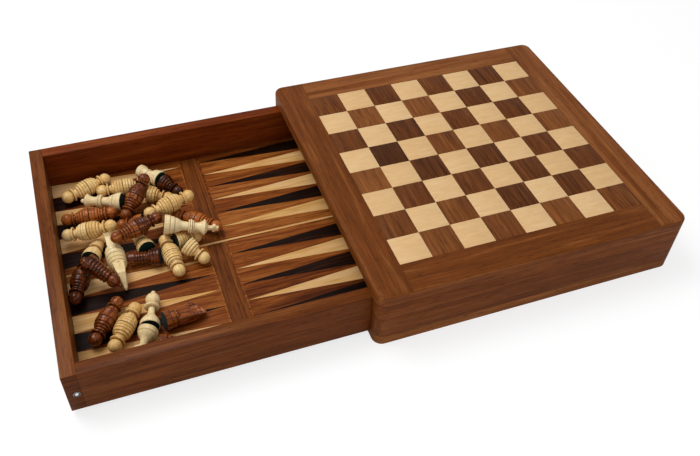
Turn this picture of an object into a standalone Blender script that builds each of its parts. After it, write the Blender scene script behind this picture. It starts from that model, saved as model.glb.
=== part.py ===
"""Wooden board game box: an inlaid chess board on a case, over a drawer with a backgammon field.

The case is a hollow box, open at its left end, with an eight by eight board let into its top.
A drawer slides out to the left. Its floor is inlaid with 24 points, and the turned magnetic
chess pieces lie in a heap at its left end. The origin is the centre of the case's underside,
+X points to the closed end, away from the drawer, and +Y to the back.
"""

import math
from dataclasses import dataclass

import bmesh
import bpy
import numpy as np
from mathutils import Matrix, Vector

MM = 0.001

# Board and case
SQUARE = 25.4 * MM
SQUARES = 8
BORDER = 25.4 * MM
CASE_HEIGHT = 52.0 * MM
CORNER_RADIUS = 7.6 * MM
EDGE_ROUND = 2.5 * MM
RAIL_THICKNESS = 10.2 * MM
CASE_WALL = 11.2 * MM
CASE_END_WALL = 5.5 * MM
CASE_FLOOR = 3.7 * MM
STEEL_SHEET = 0.5 * MM
BOARD_VENEER = 3.0 * MM
VENEER_BACKING = 0.6 * MM
CORNER_WEB = 0.6 * MM

# Drawer
SIDE_GAP = 0.8 * MM
RUNNING_GAP = 0.3 * MM
HEAD_GAP = 0.5 * MM
END_GAP = 0.5 * MM
DRAWER_WALL = 9.8 * MM
DRAWER_OPENING = 209.3 * MM
FLOOR_PANEL = 3.6 * MM
FIELD_VENEER = 1.2 * MM

# Backgammon field
POINTS_PER_HALF = 6
CENTRE_LINE = 1.8 * MM
CENTRE_BAND = 7.6 * MM
STRIP_WIDTH = 15.0 * MM
SEAM_FROM_LEFT = 10.8 * MM
SEAM_WIDTH = 1.0 * MM
SEAM_DEPTH = 0.5 * MM
TIP_RIM = 0.8 * MM
TIE_WIDTH = 1.5 * MM
TIE_THICKNESS = 0.5 * MM
TIE_LEG = 4.0 * MM
LIGHT_TIE_PLACE = 12.0 * MM
DARK_TIE_PLACE = 20.0 * MM

# Ball catch
CATCH_FROM_END = 6.4 * MM
CATCH_BELOW_TOP = 21.0 * MM
BALL_RADIUS = 1.6 * MM
BALL_SHOWS = 0.6 * MM
CUP_FLANGE_RADIUS = 2.5 * MM
CUP_FLANGE = 0.5 * MM
CUP_WALL = 0.5 * MM
CUP_DEPTH = 7.0 * MM
CUP_FIT = 0.1 * MM
BALL_FIT = 0.15 * MM
SPRING_WIRE = 0.3 * MM
SPRING_TURNS = 5
DIMPLE_DEPTH = 0.8 * MM
DIMPLE_RADIUS = 3.0 * MM

# Chess pieces: their outlines and places in the heap are drawn for a pawn of 21.5 units
PAWN_HEIGHT = 21.5 * MM
PAWN_UNITS = 21.5

# Fits and facets
GAP = 0.3 * MM
ARC_STEPS = 4
TURNED_STEPS = 10
ROUND_STEPS = 16
SMOOTH_ANGLE = math.radians(35)

# Worked out from the sizes above
BOARD = SQUARES * SQUARE
CASE = BOARD + 2 * BORDER
RAIL_BOTTOM = CASE_HEIGHT - RAIL_THICKNESS
CASE_INSIDE = CASE - 2 * CASE_WALL
DRAWER_WIDTH = CASE_INSIDE - 2 * SIDE_GAP
DRAWER_LENGTH = CASE - CASE_END_WALL - END_GAP
DRAWER_BOTTOM = CASE_FLOOR + RUNNING_GAP
DRAWER_TOP = RAIL_BOTTOM - HEAD_GAP
FIELD_LENGTH = DRAWER_LENGTH - 2 * DRAWER_WALL
FIELD_WIDTH = DRAWER_WIDTH - 2 * DRAWER_WALL
PANEL_TOP = DRAWER_BOTTOM + FLOOR_PANEL
VENEER_BOTTOM = PANEL_TOP + GAP
FIELD_TOP = VENEER_BOTTOM + FIELD_VENEER
DRAWER_AT = -CASE / 2 + DRAWER_LENGTH / 2 - DRAWER_OPENING
FIELD_DEPTH = (FIELD_LENGTH - STRIP_WIDTH) / 2
POINT_WIDTH = (FIELD_WIDTH / 2 - CENTRE_BAND) / POINTS_PER_HALF
POINT_LENGTH = FIELD_DEPTH - TIP_RIM - 2 * GAP
UNIT = PAWN_HEIGHT / PAWN_UNITS


@dataclass(frozen=True)
class Finish:
    """Plain surface of one material: linear base colour, roughness and metallic value."""

    colour: tuple[float, float, float]
    roughness: float
    metallic: float = 0.0


SHEESHAM = Finish((0.20, 0.075, 0.026), 0.35)
SHEESHAM_DARK = Finish((0.035, 0.012, 0.008), 0.35)
MAPLE = Finish((0.70, 0.47, 0.24), 0.4)
BOXWOOD = Finish((0.75, 0.54, 0.25), 0.35)
ROSEWOOD = Finish((0.16, 0.027, 0.012), 0.25)
STEEL = Finish((0.56, 0.57, 0.58), 0.35, 1.0)


def clear_scene() -> None:
    """Remove every object of the open file."""
    for scene_object in list(bpy.data.objects):
        bpy.data.objects.remove(scene_object, do_unlink=True)


def link(name: str, mesh: bpy.types.Mesh | bpy.types.Curve, finish: Finish | None, parent=None):
    """Put a mesh or curve in the scene as one named piece with a material of its own."""
    piece = bpy.data.objects.new(name, mesh)
    bpy.context.scene.collection.objects.link(piece)
    piece.parent = parent
    if finish is None:
        piece.hide_render = True
        piece.display_type = "WIRE"
        return piece
    material = bpy.data.materials.new(f"{name}_finish")
    material.use_nodes = True
    shader = material.node_tree.nodes["Principled BSDF"]
    shader.inputs["Base Color"].default_value = (*finish.colour, 1.0)
    shader.inputs["Roughness"].default_value = finish.roughness
    shader.inputs["Metallic"].default_value = finish.metallic
    mesh.materials.append(material)
    return piece


def mesh_from(name: str, build) -> bpy.types.Mesh:
    """Make a mesh with a function that fills a bmesh, its faces turned outward."""
    work = bmesh.new()
    build(work)
    bmesh.ops.recalc_face_normals(work, faces=work.faces)
    mesh = bpy.data.meshes.new(name)
    work.to_mesh(mesh)
    work.free()
    return mesh


def add_prism(work: bmesh.types.BMesh, outline: list, bottom: float, top: float) -> None:
    """Extrude a flat outline of (x, y) points from one height to another."""
    corners = [work.verts.new((x, y, bottom)) for x, y in outline]
    face = work.faces.new(corners)
    raised = bmesh.ops.extrude_face_region(work, geom=[face])["geom"]
    tops = [item for item in raised if isinstance(item, bmesh.types.BMVert)]
    bmesh.ops.translate(work, verts=tops, vec=(0, 0, top - bottom))


def prisms(name: str, outlines: list, bottom: float, top: float, finish=None, parent=None):
    """Make one object from several flat outlines, all extruded between two heights."""

    def build(work: bmesh.types.BMesh) -> None:
        for outline in outlines:
            add_prism(work, outline, bottom, top)

    return link(name, mesh_from(name, build), finish, parent)


def rectangle(low_x: float, low_y: float, high_x: float, high_y: float) -> list:
    """Outline of an upright rectangle, anticlockwise."""
    return [(low_x, low_y), (high_x, low_y), (high_x, high_y), (low_x, high_y)]


def box(name: str, low: tuple, high: tuple, finish=None, parent=None):
    """Make a plain block between two opposite corners."""
    outline = rectangle(low[0], low[1], high[0], high[1])
    return prisms(name, [outline], low[2], high[2], finish, parent)


def rounded(low_x: float, low_y: float, high_x: float, high_y: float, round_corners: tuple) -> list:
    """Outline of a rectangle whose named corners (0 to 3, anticlockwise) are quarter circles."""
    outline = []
    for index, (x, y) in enumerate(rectangle(low_x, low_y, high_x, high_y)):
        if index not in round_corners:
            outline.append((x, y))
            continue
        start = math.pi + index * math.pi / 2
        inward_x = 1 if x == low_x else -1
        inward_y = 1 if y == low_y else -1
        centre_x = x + inward_x * CORNER_RADIUS
        centre_y = y + inward_y * CORNER_RADIUS
        for step in range(ARC_STEPS + 1):
            angle = start + step / ARC_STEPS * math.pi / 2
            across = CORNER_RADIUS * math.cos(angle)
            along = CORNER_RADIUS * math.sin(angle)
            outline.append((centre_x + across, centre_y + along))
    return outline


def combine(piece, operand, operation: str) -> None:
    """Join an operand to a piece, or cut it out, with an exact Boolean modifier."""
    modifier = piece.modifiers.new(f"{operation.lower()}_{operand.name}", "BOOLEAN")
    modifier.operation = operation
    modifier.solver = "EXACT"
    modifier.object = operand


def turned(name: str, outline: list, steps: int, finish=None, parent=None):
    """Turn an outline of (height, radius) points, listed bottom to top, about the Z axis."""
    closed = [(outline[0][0], 0.0), *outline, (outline[-1][0], 0.0)]
    points = [(radius, 0.0, height) for height, radius in reversed(closed)]
    edges = [(index, index + 1) for index in range(len(points) - 1)]
    mesh = bpy.data.meshes.new(name)
    mesh.from_pydata(points, edges, [])
    piece = link(name, mesh, finish, parent)
    screw = piece.modifiers.new("turning", "SCREW")
    screw.steps = steps
    screw.render_steps = steps
    screw.use_merge_vertices = True
    screw.merge_threshold = 0.00001
    screw.use_smooth_shade = True
    return piece


# ---------------------------------------------------------------- case


def round_outer_edge(piece, inner_x: float | None, inner_y: float | None) -> None:
    """Round a rail's top edge, except where it meets the board at the inner line."""
    work = bmesh.new()
    work.from_mesh(piece.data)

    def is_outer(edge: bmesh.types.BMEdge) -> bool:
        ends = [corner.co for corner in edge.verts]
        if any(abs(end.z - CASE_HEIGHT) > 1e-6 for end in ends):
            return False
        if inner_x is not None:
            return not all(abs(abs(end.x) - inner_x) < 1e-6 for end in ends)
        if abs(ends[0].x - ends[1].x) < 1e-6:
            return False
        return not all(abs(abs(end.y) - inner_y) < 1e-6 for end in ends)

    edges = [edge for edge in work.edges if is_outer(edge)]
    bmesh.ops.bevel(work, geom=edges, offset=EDGE_ROUND, segments=2, profile=0.5, affect="EDGES")
    work.to_mesh(piece.data)
    work.free()


def make_case_walls() -> None:
    """The bottom plate, and on it the long side walls and the thin end wall."""
    half = CASE / 2
    inside = CASE_INSIDE / 2
    foot = CASE_FLOOR + GAP
    top = RAIL_BOTTOM - GAP
    back = prisms("case_back_wall", [rounded(-half, inside, half, half, (2, 3))], foot, top, SHEESHAM)
    near = prisms("case_near_wall", [rounded(-half, -half, half, -inside, (0, 1))], foot, top, SHEESHAM)
    end_low = (half - CASE_END_WALL, GAP - inside, foot)
    box("case_end_wall", end_low, (half, inside - GAP, top), SHEESHAM)
    plate = rounded(-half, -half, half, half, (0, 1, 2, 3))
    bottom = prisms("case_bottom", [plate], 0, CASE_FLOOR, SHEESHAM)
    for wall in (back, near, bottom):
        wall.data.shade_smooth()
        wall.data.set_sharp_from_angle(angle=SMOOTH_ANGLE)
    dimple_outline = [(-DIMPLE_DEPTH, DIMPLE_RADIUS / 3), (0, DIMPLE_RADIUS), (GAP, DIMPLE_RADIUS)]
    dimple = turned("catch_dimple_cutter", dimple_outline, ROUND_STEPS)
    dimple.location = (CATCH_FROM_END - half, -inside, DRAWER_TOP - CATCH_BELOW_TOP)
    dimple.rotation_euler.x = -math.pi / 2
    combine(near, dimple, "DIFFERENCE")


def make_rails() -> None:
    """Four rails round the board: the left and right ones run the full depth."""
    half = CASE / 2
    board = BOARD / 2
    left = rounded(-half, -half, -board, half, (0, 3))
    right = rounded(board, -half, half, half, (1, 2))
    for name, outline in (("left_rail", left), ("right_rail", right)):
        rail = prisms(name, [outline], RAIL_BOTTOM, CASE_HEIGHT, SHEESHAM)
        round_outer_edge(rail, board, None)
    reach = board - GAP
    near = rectangle(-reach, -half, reach, -board)
    back = rectangle(-reach, board, reach, half)
    for name, outline in (("near_rail", near), ("back_rail", back)):
        rail = prisms(name, [outline], RAIL_BOTTOM, CASE_HEIGHT, SHEESHAM)
        round_outer_edge(rail, None, board)


def square_outline(column: int, row: int, side: float, overrun: float) -> list:
    """Outline of one board square, run past the board's edge where it lies on that edge."""
    centre_x = (column + 0.5) * SQUARE - BOARD / 2
    centre_y = (row + 0.5) * SQUARE - BOARD / 2
    low_x = centre_x - side / 2 - (overrun if column == 0 else 0)
    high_x = centre_x + side / 2 + (overrun if column == SQUARES - 1 else 0)
    low_y = centre_y - side / 2 - (overrun if row == 0 else 0)
    high_y = centre_y + side / 2 + (overrun if row == SQUARES - 1 else 0)
    return rectangle(low_x, low_y, high_x, high_y)


def make_board() -> None:
    """Panel, steel sheet for the magnets, and the two interlocking layers of squares."""
    veneer_bottom = CASE_HEIGHT - BOARD_VENEER
    sheet_bottom = veneer_bottom - GAP - STEEL_SHEET
    edge = BOARD / 2 - GAP
    box("board_panel", (-edge, -edge, RAIL_BOTTOM), (edge, edge, sheet_bottom - GAP), SHEESHAM)
    box("steel_sheet", (-edge, -edge, sheet_bottom), (edge, edge, sheet_bottom + STEEL_SHEET), STEEL)

    # The back row starts with a dark square at the left.
    cells = [(column, row) for column in range(SQUARES) for row in range(SQUARES)]
    dark = [cell for cell in cells if (cell[0] + cell[1]) % 2 == 1]
    window = SQUARE - CORNER_WEB
    plate_bottom = veneer_bottom + VENEER_BACKING + GAP
    plate = box("maple_squares", (-edge, -edge, plate_bottom), (edge, edge, CASE_HEIGHT), MAPLE)
    windows = [square_outline(column, row, window, SQUARE / 4) for column, row in dark]
    cutter = prisms("window_cutter", windows, plate_bottom - GAP, CASE_HEIGHT + GAP)
    combine(plate, cutter, "DIFFERENCE")

    backing_top = veneer_bottom + VENEER_BACKING
    backing = box("sheesham_squares", (-edge, -edge, veneer_bottom), (edge, edge, backing_top), SHEESHAM_DARK)
    raised = [square_outline(column, row, window - 2 * GAP, 0) for column, row in dark]
    tops = prisms("raised_squares", raised, backing_top - VENEER_BACKING / 2, CASE_HEIGHT)
    combine(backing, tops, "UNION")


# ---------------------------------------------------------------- drawer


def make_drawer_box(drawer) -> None:
    """Four walls and the floor panel, with grooves for the points' ties."""
    half_x = DRAWER_LENGTH / 2
    half_y = DRAWER_WIDTH / 2
    inner_x = FIELD_LENGTH / 2
    inner_y = FIELD_WIDTH / 2
    # The left wall runs the full width, the long walls butt against it and hold the right one.
    for name, low_x, low_y, high_x, high_y in (
        ("drawer_left_wall", -half_x, -half_y, -inner_x, half_y),
        ("drawer_back_wall", GAP - inner_x, inner_y, half_x, half_y),
        ("drawer_near_wall", GAP - inner_x, -half_y, half_x, -inner_y),
        ("drawer_right_wall", inner_x, GAP - inner_y, half_x, inner_y - GAP),
    ):
        box(name, (low_x, low_y, DRAWER_BOTTOM), (high_x, high_y, DRAWER_TOP), SHEESHAM, drawer)
    panel_x = inner_x - GAP
    panel_y = inner_y - GAP
    low = (-panel_x, -panel_y, DRAWER_BOTTOM)
    panel = box("drawer_floor", low, (panel_x, panel_y, PANEL_TOP), SHEESHAM, drawer)
    groove_half = TIE_WIDTH / 2 + GAP
    grooves = []
    for end in (-1, 1):
        for place in (LIGHT_TIE_PLACE, DARK_TIE_PLACE):
            x = end * (inner_x - place)
            reach = panel_y - POINT_WIDTH / 4
            grooves.append(rectangle(x - groove_half, -reach, x + groove_half, reach))
    bottom = PANEL_TOP - TIE_THICKNESS - GAP
    cutter = prisms("groove_cutter", grooves, bottom, PANEL_TOP + GAP, None, drawer)
    combine(panel, cutter, "DIFFERENCE")


def field_point(end: int, half: int, inward: float, across: float) -> tuple[float, float]:
    """Place of a point of one quarter field, from its end wall and its side wall."""
    return end * (FIELD_LENGTH / 2 - inward), half * (FIELD_WIDTH / 2 - across)


def ground_outline(end: int, half: int) -> list:
    """Outline of the brown ground of one quarter: a comb of wedges between the points."""
    half_width = POINT_WIDTH / 2
    slant = math.hypot(POINT_LENGTH, half_width)
    notch = GAP * slant / half_width
    tip_half = (notch - GAP) * half_width / POINT_LENGTH
    tip = POINT_LENGTH + GAP
    edge = FIELD_WIDTH / 2 - CENTRE_LINE / 2 - GAP
    route = [(notch + GAP * POINT_LENGTH / half_width, GAP)]
    for index in range(POINTS_PER_HALF):
        centre = (index + 0.5) * POINT_WIDTH
        route += [(tip, centre - tip_half), (tip, centre + tip_half)]
        if index < POINTS_PER_HALF - 1:
            route.append((notch, centre + half_width))
    band = POINTS_PER_HALF * POINT_WIDTH + (notch - GAP) * half_width / POINT_LENGTH
    route += [(GAP, band), (GAP, edge), (FIELD_DEPTH - GAP, edge), (FIELD_DEPTH - GAP, GAP)]
    return [field_point(end, half, inward, across) for inward, across in route]


def make_points(drawer, end: int, end_name: str) -> None:
    """Six light and six dark points at one end, each set held by a tie under the veneer."""
    for name, first, place, finish in (
        ("light_points", 1 if end > 0 else 0, LIGHT_TIE_PLACE, MAPLE),
        ("dark_points", 0 if end > 0 else 1, DARK_TIE_PLACE, SHEESHAM_DARK),
    ):
        triangles = []
        legs = []
        for half, start in ((1, first), (-1, 1 - first)):
            for index in range(start, POINTS_PER_HALF, 2):
                centre = (index + 0.5) * POINT_WIDTH
                base = POINT_WIDTH / 2 - GAP / 2
                corners = ((GAP, centre - base), (GAP, centre + base), (POINT_LENGTH, centre))
                triangles.append([field_point(end, half, *corner) for corner in corners])
                x, y = field_point(end, half, place, centre)
                legs.append(rectangle(x - TIE_WIDTH / 2, y - TIE_LEG / 2, x + TIE_WIDTH / 2, y + TIE_LEG / 2))
        x = end * (FIELD_LENGTH / 2 - place)
        reach = FIELD_WIDTH / 2 - POINT_WIDTH / 2
        bottom = PANEL_TOP - TIE_THICKNESS
        low = (x - TIE_WIDTH / 2, -reach, bottom)
        node = f"{end_name}_{name}"
        tie = box(node, low, (x + TIE_WIDTH / 2, reach, PANEL_TOP), finish, drawer)
        leg_bottom = bottom + TIE_THICKNESS / 2
        leg_top = VENEER_BOTTOM + FIELD_VENEER / 2
        combine(tie, prisms(f"{node}_legs", legs, leg_bottom, leg_top, None, drawer), "UNION")
        veneer = prisms(f"{node}_veneer", triangles, VENEER_BOTTOM, FIELD_TOP, None, drawer)
        combine(tie, veneer, "UNION")


def make_field(drawer) -> None:
    """Veneers of the drawer's floor: grounds, points, the seamed cross strips and the centre line."""
    for end, end_name in ((-1, "left"), (1, "right")):
        for half, half_name in ((1, "back"), (-1, "near")):
            outline = ground_outline(end, half)
            name = f"{end_name}_{half_name}_ground"
            prisms(name, [outline], VENEER_BOTTOM, FIELD_TOP, SHEESHAM, drawer)
        make_points(drawer, end, end_name)
    reach = FIELD_LENGTH / 2 - GAP
    low = (-reach, -CENTRE_LINE / 2, VENEER_BOTTOM)
    box("centre_line", low, (reach, CENTRE_LINE / 2, FIELD_TOP), MAPLE, drawer)
    strip_x = STRIP_WIDTH / 2
    outer = FIELD_WIDTH / 2 - GAP
    inner = CENTRE_LINE / 2 + GAP
    groove_outline = [(-SEAM_WIDTH / 2, SEAM_DEPTH), (SEAM_WIDTH / 2, SEAM_DEPTH), (0, -SEAM_DEPTH)]
    for name, low_y, high_y in (
        ("back_cross_strip", inner, outer),
        ("near_cross_strip", -outer, -inner),
    ):
        strip = box(name, (-strip_x, low_y, VENEER_BOTTOM), (strip_x, high_y, FIELD_TOP), SHEESHAM_DARK, drawer)
        seam = prisms(f"{name}_seam", [groove_outline], low_y - GAP, high_y + GAP, None, drawer)
        seam.rotation_euler.x = math.pi / 2
        seam.location = (SEAM_FROM_LEFT - strip_x, low_y + high_y, FIELD_TOP)
        combine(strip, seam, "DIFFERENCE")


# ---------------------------------------------------------------- ball catch


def make_catch(drawer) -> None:
    """Sprung ball in a flanged cup, let into the near end of the drawer's left wall."""
    place = Vector(
        (CATCH_FROM_END - DRAWER_LENGTH / 2, -DRAWER_WIDTH / 2, DRAWER_TOP - CATCH_BELOW_TOP)
    )
    bore = BALL_RADIUS + BALL_FIT
    body = bore + CUP_WALL
    centre = BALL_SHOWS - BALL_RADIUS

    def lip(height: float) -> tuple[float, float]:
        ball = math.sqrt(BALL_RADIUS**2 - (height - centre) ** 2)
        return height, ball + BALL_FIT

    hole = [
        (-CUP_DEPTH - CUP_FIT, body + CUP_FIT),
        (-CUP_FLANGE - CUP_FIT, body + CUP_FIT),
        (-CUP_FLANGE - CUP_FIT, CUP_FLANGE_RADIUS + CUP_FIT),
        (GAP, CUP_FLANGE_RADIUS + CUP_FIT),
    ]
    cup_outline = [
        (-CUP_DEPTH, body),
        (-CUP_FLANGE, body),
        (-CUP_FLANGE, CUP_FLANGE_RADIUS),
        (0, CUP_FLANGE_RADIUS),
        lip(0),
        lip(centre / 2),
        (centre, bore),
        (CUP_WALL - CUP_DEPTH, bore),
    ]
    outward = math.pi / 2
    cutter = turned("catch_bore_cutter", hole, ROUND_STEPS, None, drawer)
    cup = turned("catch_cup", cup_outline, ROUND_STEPS, STEEL, drawer)
    for piece in (cutter, cup):
        piece.location = place
        piece.rotation_euler.x = outward
    combine(bpy.data.objects["drawer_left_wall"], cutter, "DIFFERENCE")

    def sphere(work: bmesh.types.BMesh) -> None:
        bmesh.ops.create_uvsphere(work, u_segments=12, v_segments=8, radius=BALL_RADIUS)

    ball = link("catch_ball", mesh_from("catch_ball", sphere), STEEL, drawer)
    ball.data.shade_smooth()
    ball.location = place - Vector((0, centre, 0))

    curve = bpy.data.curves.new("catch_spring", "CURVE")
    curve.dimensions = "3D"
    curve.bevel_depth = SPRING_WIRE / 2
    curve.bevel_resolution = 0
    curve.use_fill_caps = True
    coil_radius = bore - BALL_FIT - SPRING_WIRE
    front = centre - math.sqrt(BALL_RADIUS**2 - coil_radius**2) - SPRING_WIRE
    rear = CUP_WALL - CUP_DEPTH + SPRING_WIRE
    count = SPRING_TURNS * 10
    spline = curve.splines.new("POLY")
    spline.points.add(count)
    for index, point in enumerate(spline.points):
        angle = 2 * math.pi * SPRING_TURNS * index / count
        height = rear + (front - rear) * index / count
        point.co = (coil_radius * math.cos(angle), coil_radius * math.sin(angle), height, 1)
    spring = link("catch_spring", curve, STEEL, drawer)
    spring.location = place
    spring.rotation_euler.x = outward


# ---------------------------------------------------------------- chess pieces


def stem(base: float, body: float, shoulder: float, neck: float, collar: tuple) -> list:
    """Lower part of a turned piece, in units: base, tapering body, neck and collar."""
    collar_height, collar_radius, collar_thickness = collar
    collar_low = collar_height - collar_thickness / 2
    collar_high = collar_height + collar_thickness / 2
    return [
        (0, base - 0.6),
        (0.8, base),
        (0.42 * body, base),
        (body, shoulder),
        (body + 0.5, neck),
        (collar_low - 0.4, neck),
        (collar_low, collar_radius),
        (collar_high, collar_radius),
    ]


def ball_head(height: float, radius: float, highest: float) -> list:
    """Part of a ball, in units, from below its middle to the given angle above it."""
    lowest = -50
    steps = 3
    outline = []
    for step in range(steps + 1):
        angle = math.radians(lowest + (highest - lowest) * step / steps)
        outline.append((height + radius * math.sin(angle), radius * math.cos(angle)))
    return outline


def outlines() -> dict[str, list]:
    """Turned outline of each kind of piece: (height, radius) in units, base to head."""
    carved_reach = 4.1
    return {
        "pawn": stem(7.0, 8.6, 5.0, 3.1, (12.3, 5.2, 1.2)) + ball_head(16.8, 4.7, 75),
        "bishop": stem(7.2, 11.0, 5.0, 2.6, (18.0, 5.2, 1.6))
        + ball_head(24.2, 5.2, 55)
        + [(29.2, 1.5), (31.0, 1.3)],
        "queen": stem(7.3, 9.5, 5.6, 3.1, (17.5, 4.6, 1.6))
        + [(20.5, 2.8), (24.0, 3.0), (28.0, 5.5), (30.5, 4.2), (31.3, 1.4), (33.5, 1.2)],
        "king": stem(7.6, 12.0, 5.4, 3.4, (19.8, 5.2, 2.2))
        + [(24.0, 2.6), (30.8, 6.0), (33.0, 5.0), (33.6, 2.0), (36.4, 2.8), (38.0, 1.8), (41.6, 2.4)],
        "rook": stem(7.2, 8.6, 5.4, 4.0, (14.0, 4.4, 1.0)) + [(17.0, 4.0), (19.0, 5.4), (23.5, 5.4)],
        "knight": stem(7.2, 7.5, 5.6, 4.6, (9.0, 5.0, 1.0))
        + [(10.0, carved_reach), (24.0, carved_reach), (30.0, 2.0)],
    }


# Outline of a knight's flat head, (forward, height) in units, and half its thickness
HORSE_HEAD = [
    (-4.2, 8.8),
    (3.4, 8.8),
    (1.8, 14.0),
    (1.0, 17.0),
    (3.2, 16.4),
    (4.3, 18.6),
    (3.0, 23.4),
    (1.4, 26.6),
    (0.6, 30.0),
    (-0.6, 27.0),
    (-4.0, 22.0),
    (-4.3, 15.0),
]
HORSE_HEAD_HALF = 2.6

# Rings at the end of a knight's outline that only stand for the space its carved head takes
CARVED_RINGS = 3


@dataclass(frozen=True)
class Place:
    """One piece, or two held base to base by their magnets, as it lies in the heap.

    Lengths are in units from the drawer's inner back left corner to the first base, and
    angles in degrees: heading is that of the first head in plan, tilt lifts that head.
    With no tilt a single piece lies on its base's rim and its head.
    """

    name: str
    kinds: tuple[str, ...]
    wood: Finish
    right: float
    near: float
    heading: float
    tilt: float | None = None


PAIR = ("pawn", "pawn")
HEAP = (
    Place("boxwood_pawn_pair_1", PAIR, BOXWOOD, 27.6, 19.7, 23, 0),
    Place("rosewood_pawn_pair_1", PAIR, ROSEWOOD, 25.5, 53.5, -4, 0),
    Place("boxwood_queen", ("queen",), BOXWOOD, 52.5, 45, 157),
    Place("boxwood_pawn_pair_2", PAIR, BOXWOOD, 56, 27.6, 177, 0),
    Place("boxwood_pawn_1", ("pawn",), BOXWOOD, 73.4, 41.5, -26),
    Place("boxwood_rook", ("rook",), BOXWOOD, 86.6, 28.3, 127),
    Place("rosewood_pawn_1", ("pawn",), ROSEWOOD, 87.6, 30.2, -54),
    Place("rosewood_pawn_pair_2", PAIR, ROSEWOOD, 104.5, 84, -40, 0),
    Place("rosewood_pawn_2", ("pawn",), ROSEWOOD, 64.5, 73.5, 165),
    Place("boxwood_pawn_pair_5", PAIR, BOXWOOD, 86.5, 71, 18, 0),
    Place("boxwood_knight_pair", ("knight", "knight"), BOXWOOD, 38.4, 104.7, 94, 0),
    Place("boxwood_pawn_pair_3", PAIR, BOXWOOD, 23.6, 76.8, -12, 12),
    Place("rosewood_pawn_pair_3", PAIR, ROSEWOOD, 63, 48.5, 51, 19),
    Place("boxwood_pawn_4", ("pawn",), BOXWOOD, 62, 103.5, 104),
    Place("boxwood_pawn_pair_4", PAIR, BOXWOOD, 78.5, 114.9, 97, 0),
    Place("boxwood_pawn_2", ("pawn",), BOXWOOD, 83.9, 102.4, 12),
    Place("boxwood_pawn_3", ("pawn",), BOXWOOD, 90.7, 112.3, -49, -22),
    Place("rosewood_rook", ("rook",), ROSEWOOD, 70.3, 113.6, 166),
    Place("rosewood_pawn_pair_4", PAIR, ROSEWOOD, 58, 90.5, 20, 0),
    Place("boxwood_king", ("king",), BOXWOOD, 78, 94.3, -13, -11),
    Place("boxwood_pawn_5", ("pawn",), BOXWOOD, 20.2, 100.2, 66),
    Place("rosewood_pawn_pair_5", PAIR, ROSEWOOD, 9.8, 119.7, 70, 0),
    Place("rosewood_bishop", ("bishop",), ROSEWOOD, 17.6, 116.8, -44, -24),
    Place("rosewood_pawn_pair_6", PAIR, ROSEWOOD, 22.7, 162.4, 56, 0),
    Place("boxwood_pawn_pair_6", PAIR, BOXWOOD, 34.2, 172, 57, 0),
    Place("boxwood_bishop_1", ("bishop",), BOXWOOD, 50.5, 177.2, 75, 0),
    Place("boxwood_bishop_2", ("bishop",), BOXWOOD, 49.3, 179.5, -117, 0),
    Place("rosewood_knight", ("knight",), ROSEWOOD, 60.8, 175.8, 11),
    Place("rosewood_king", ("king",), ROSEWOOD, 54, 196, -10),
)


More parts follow.
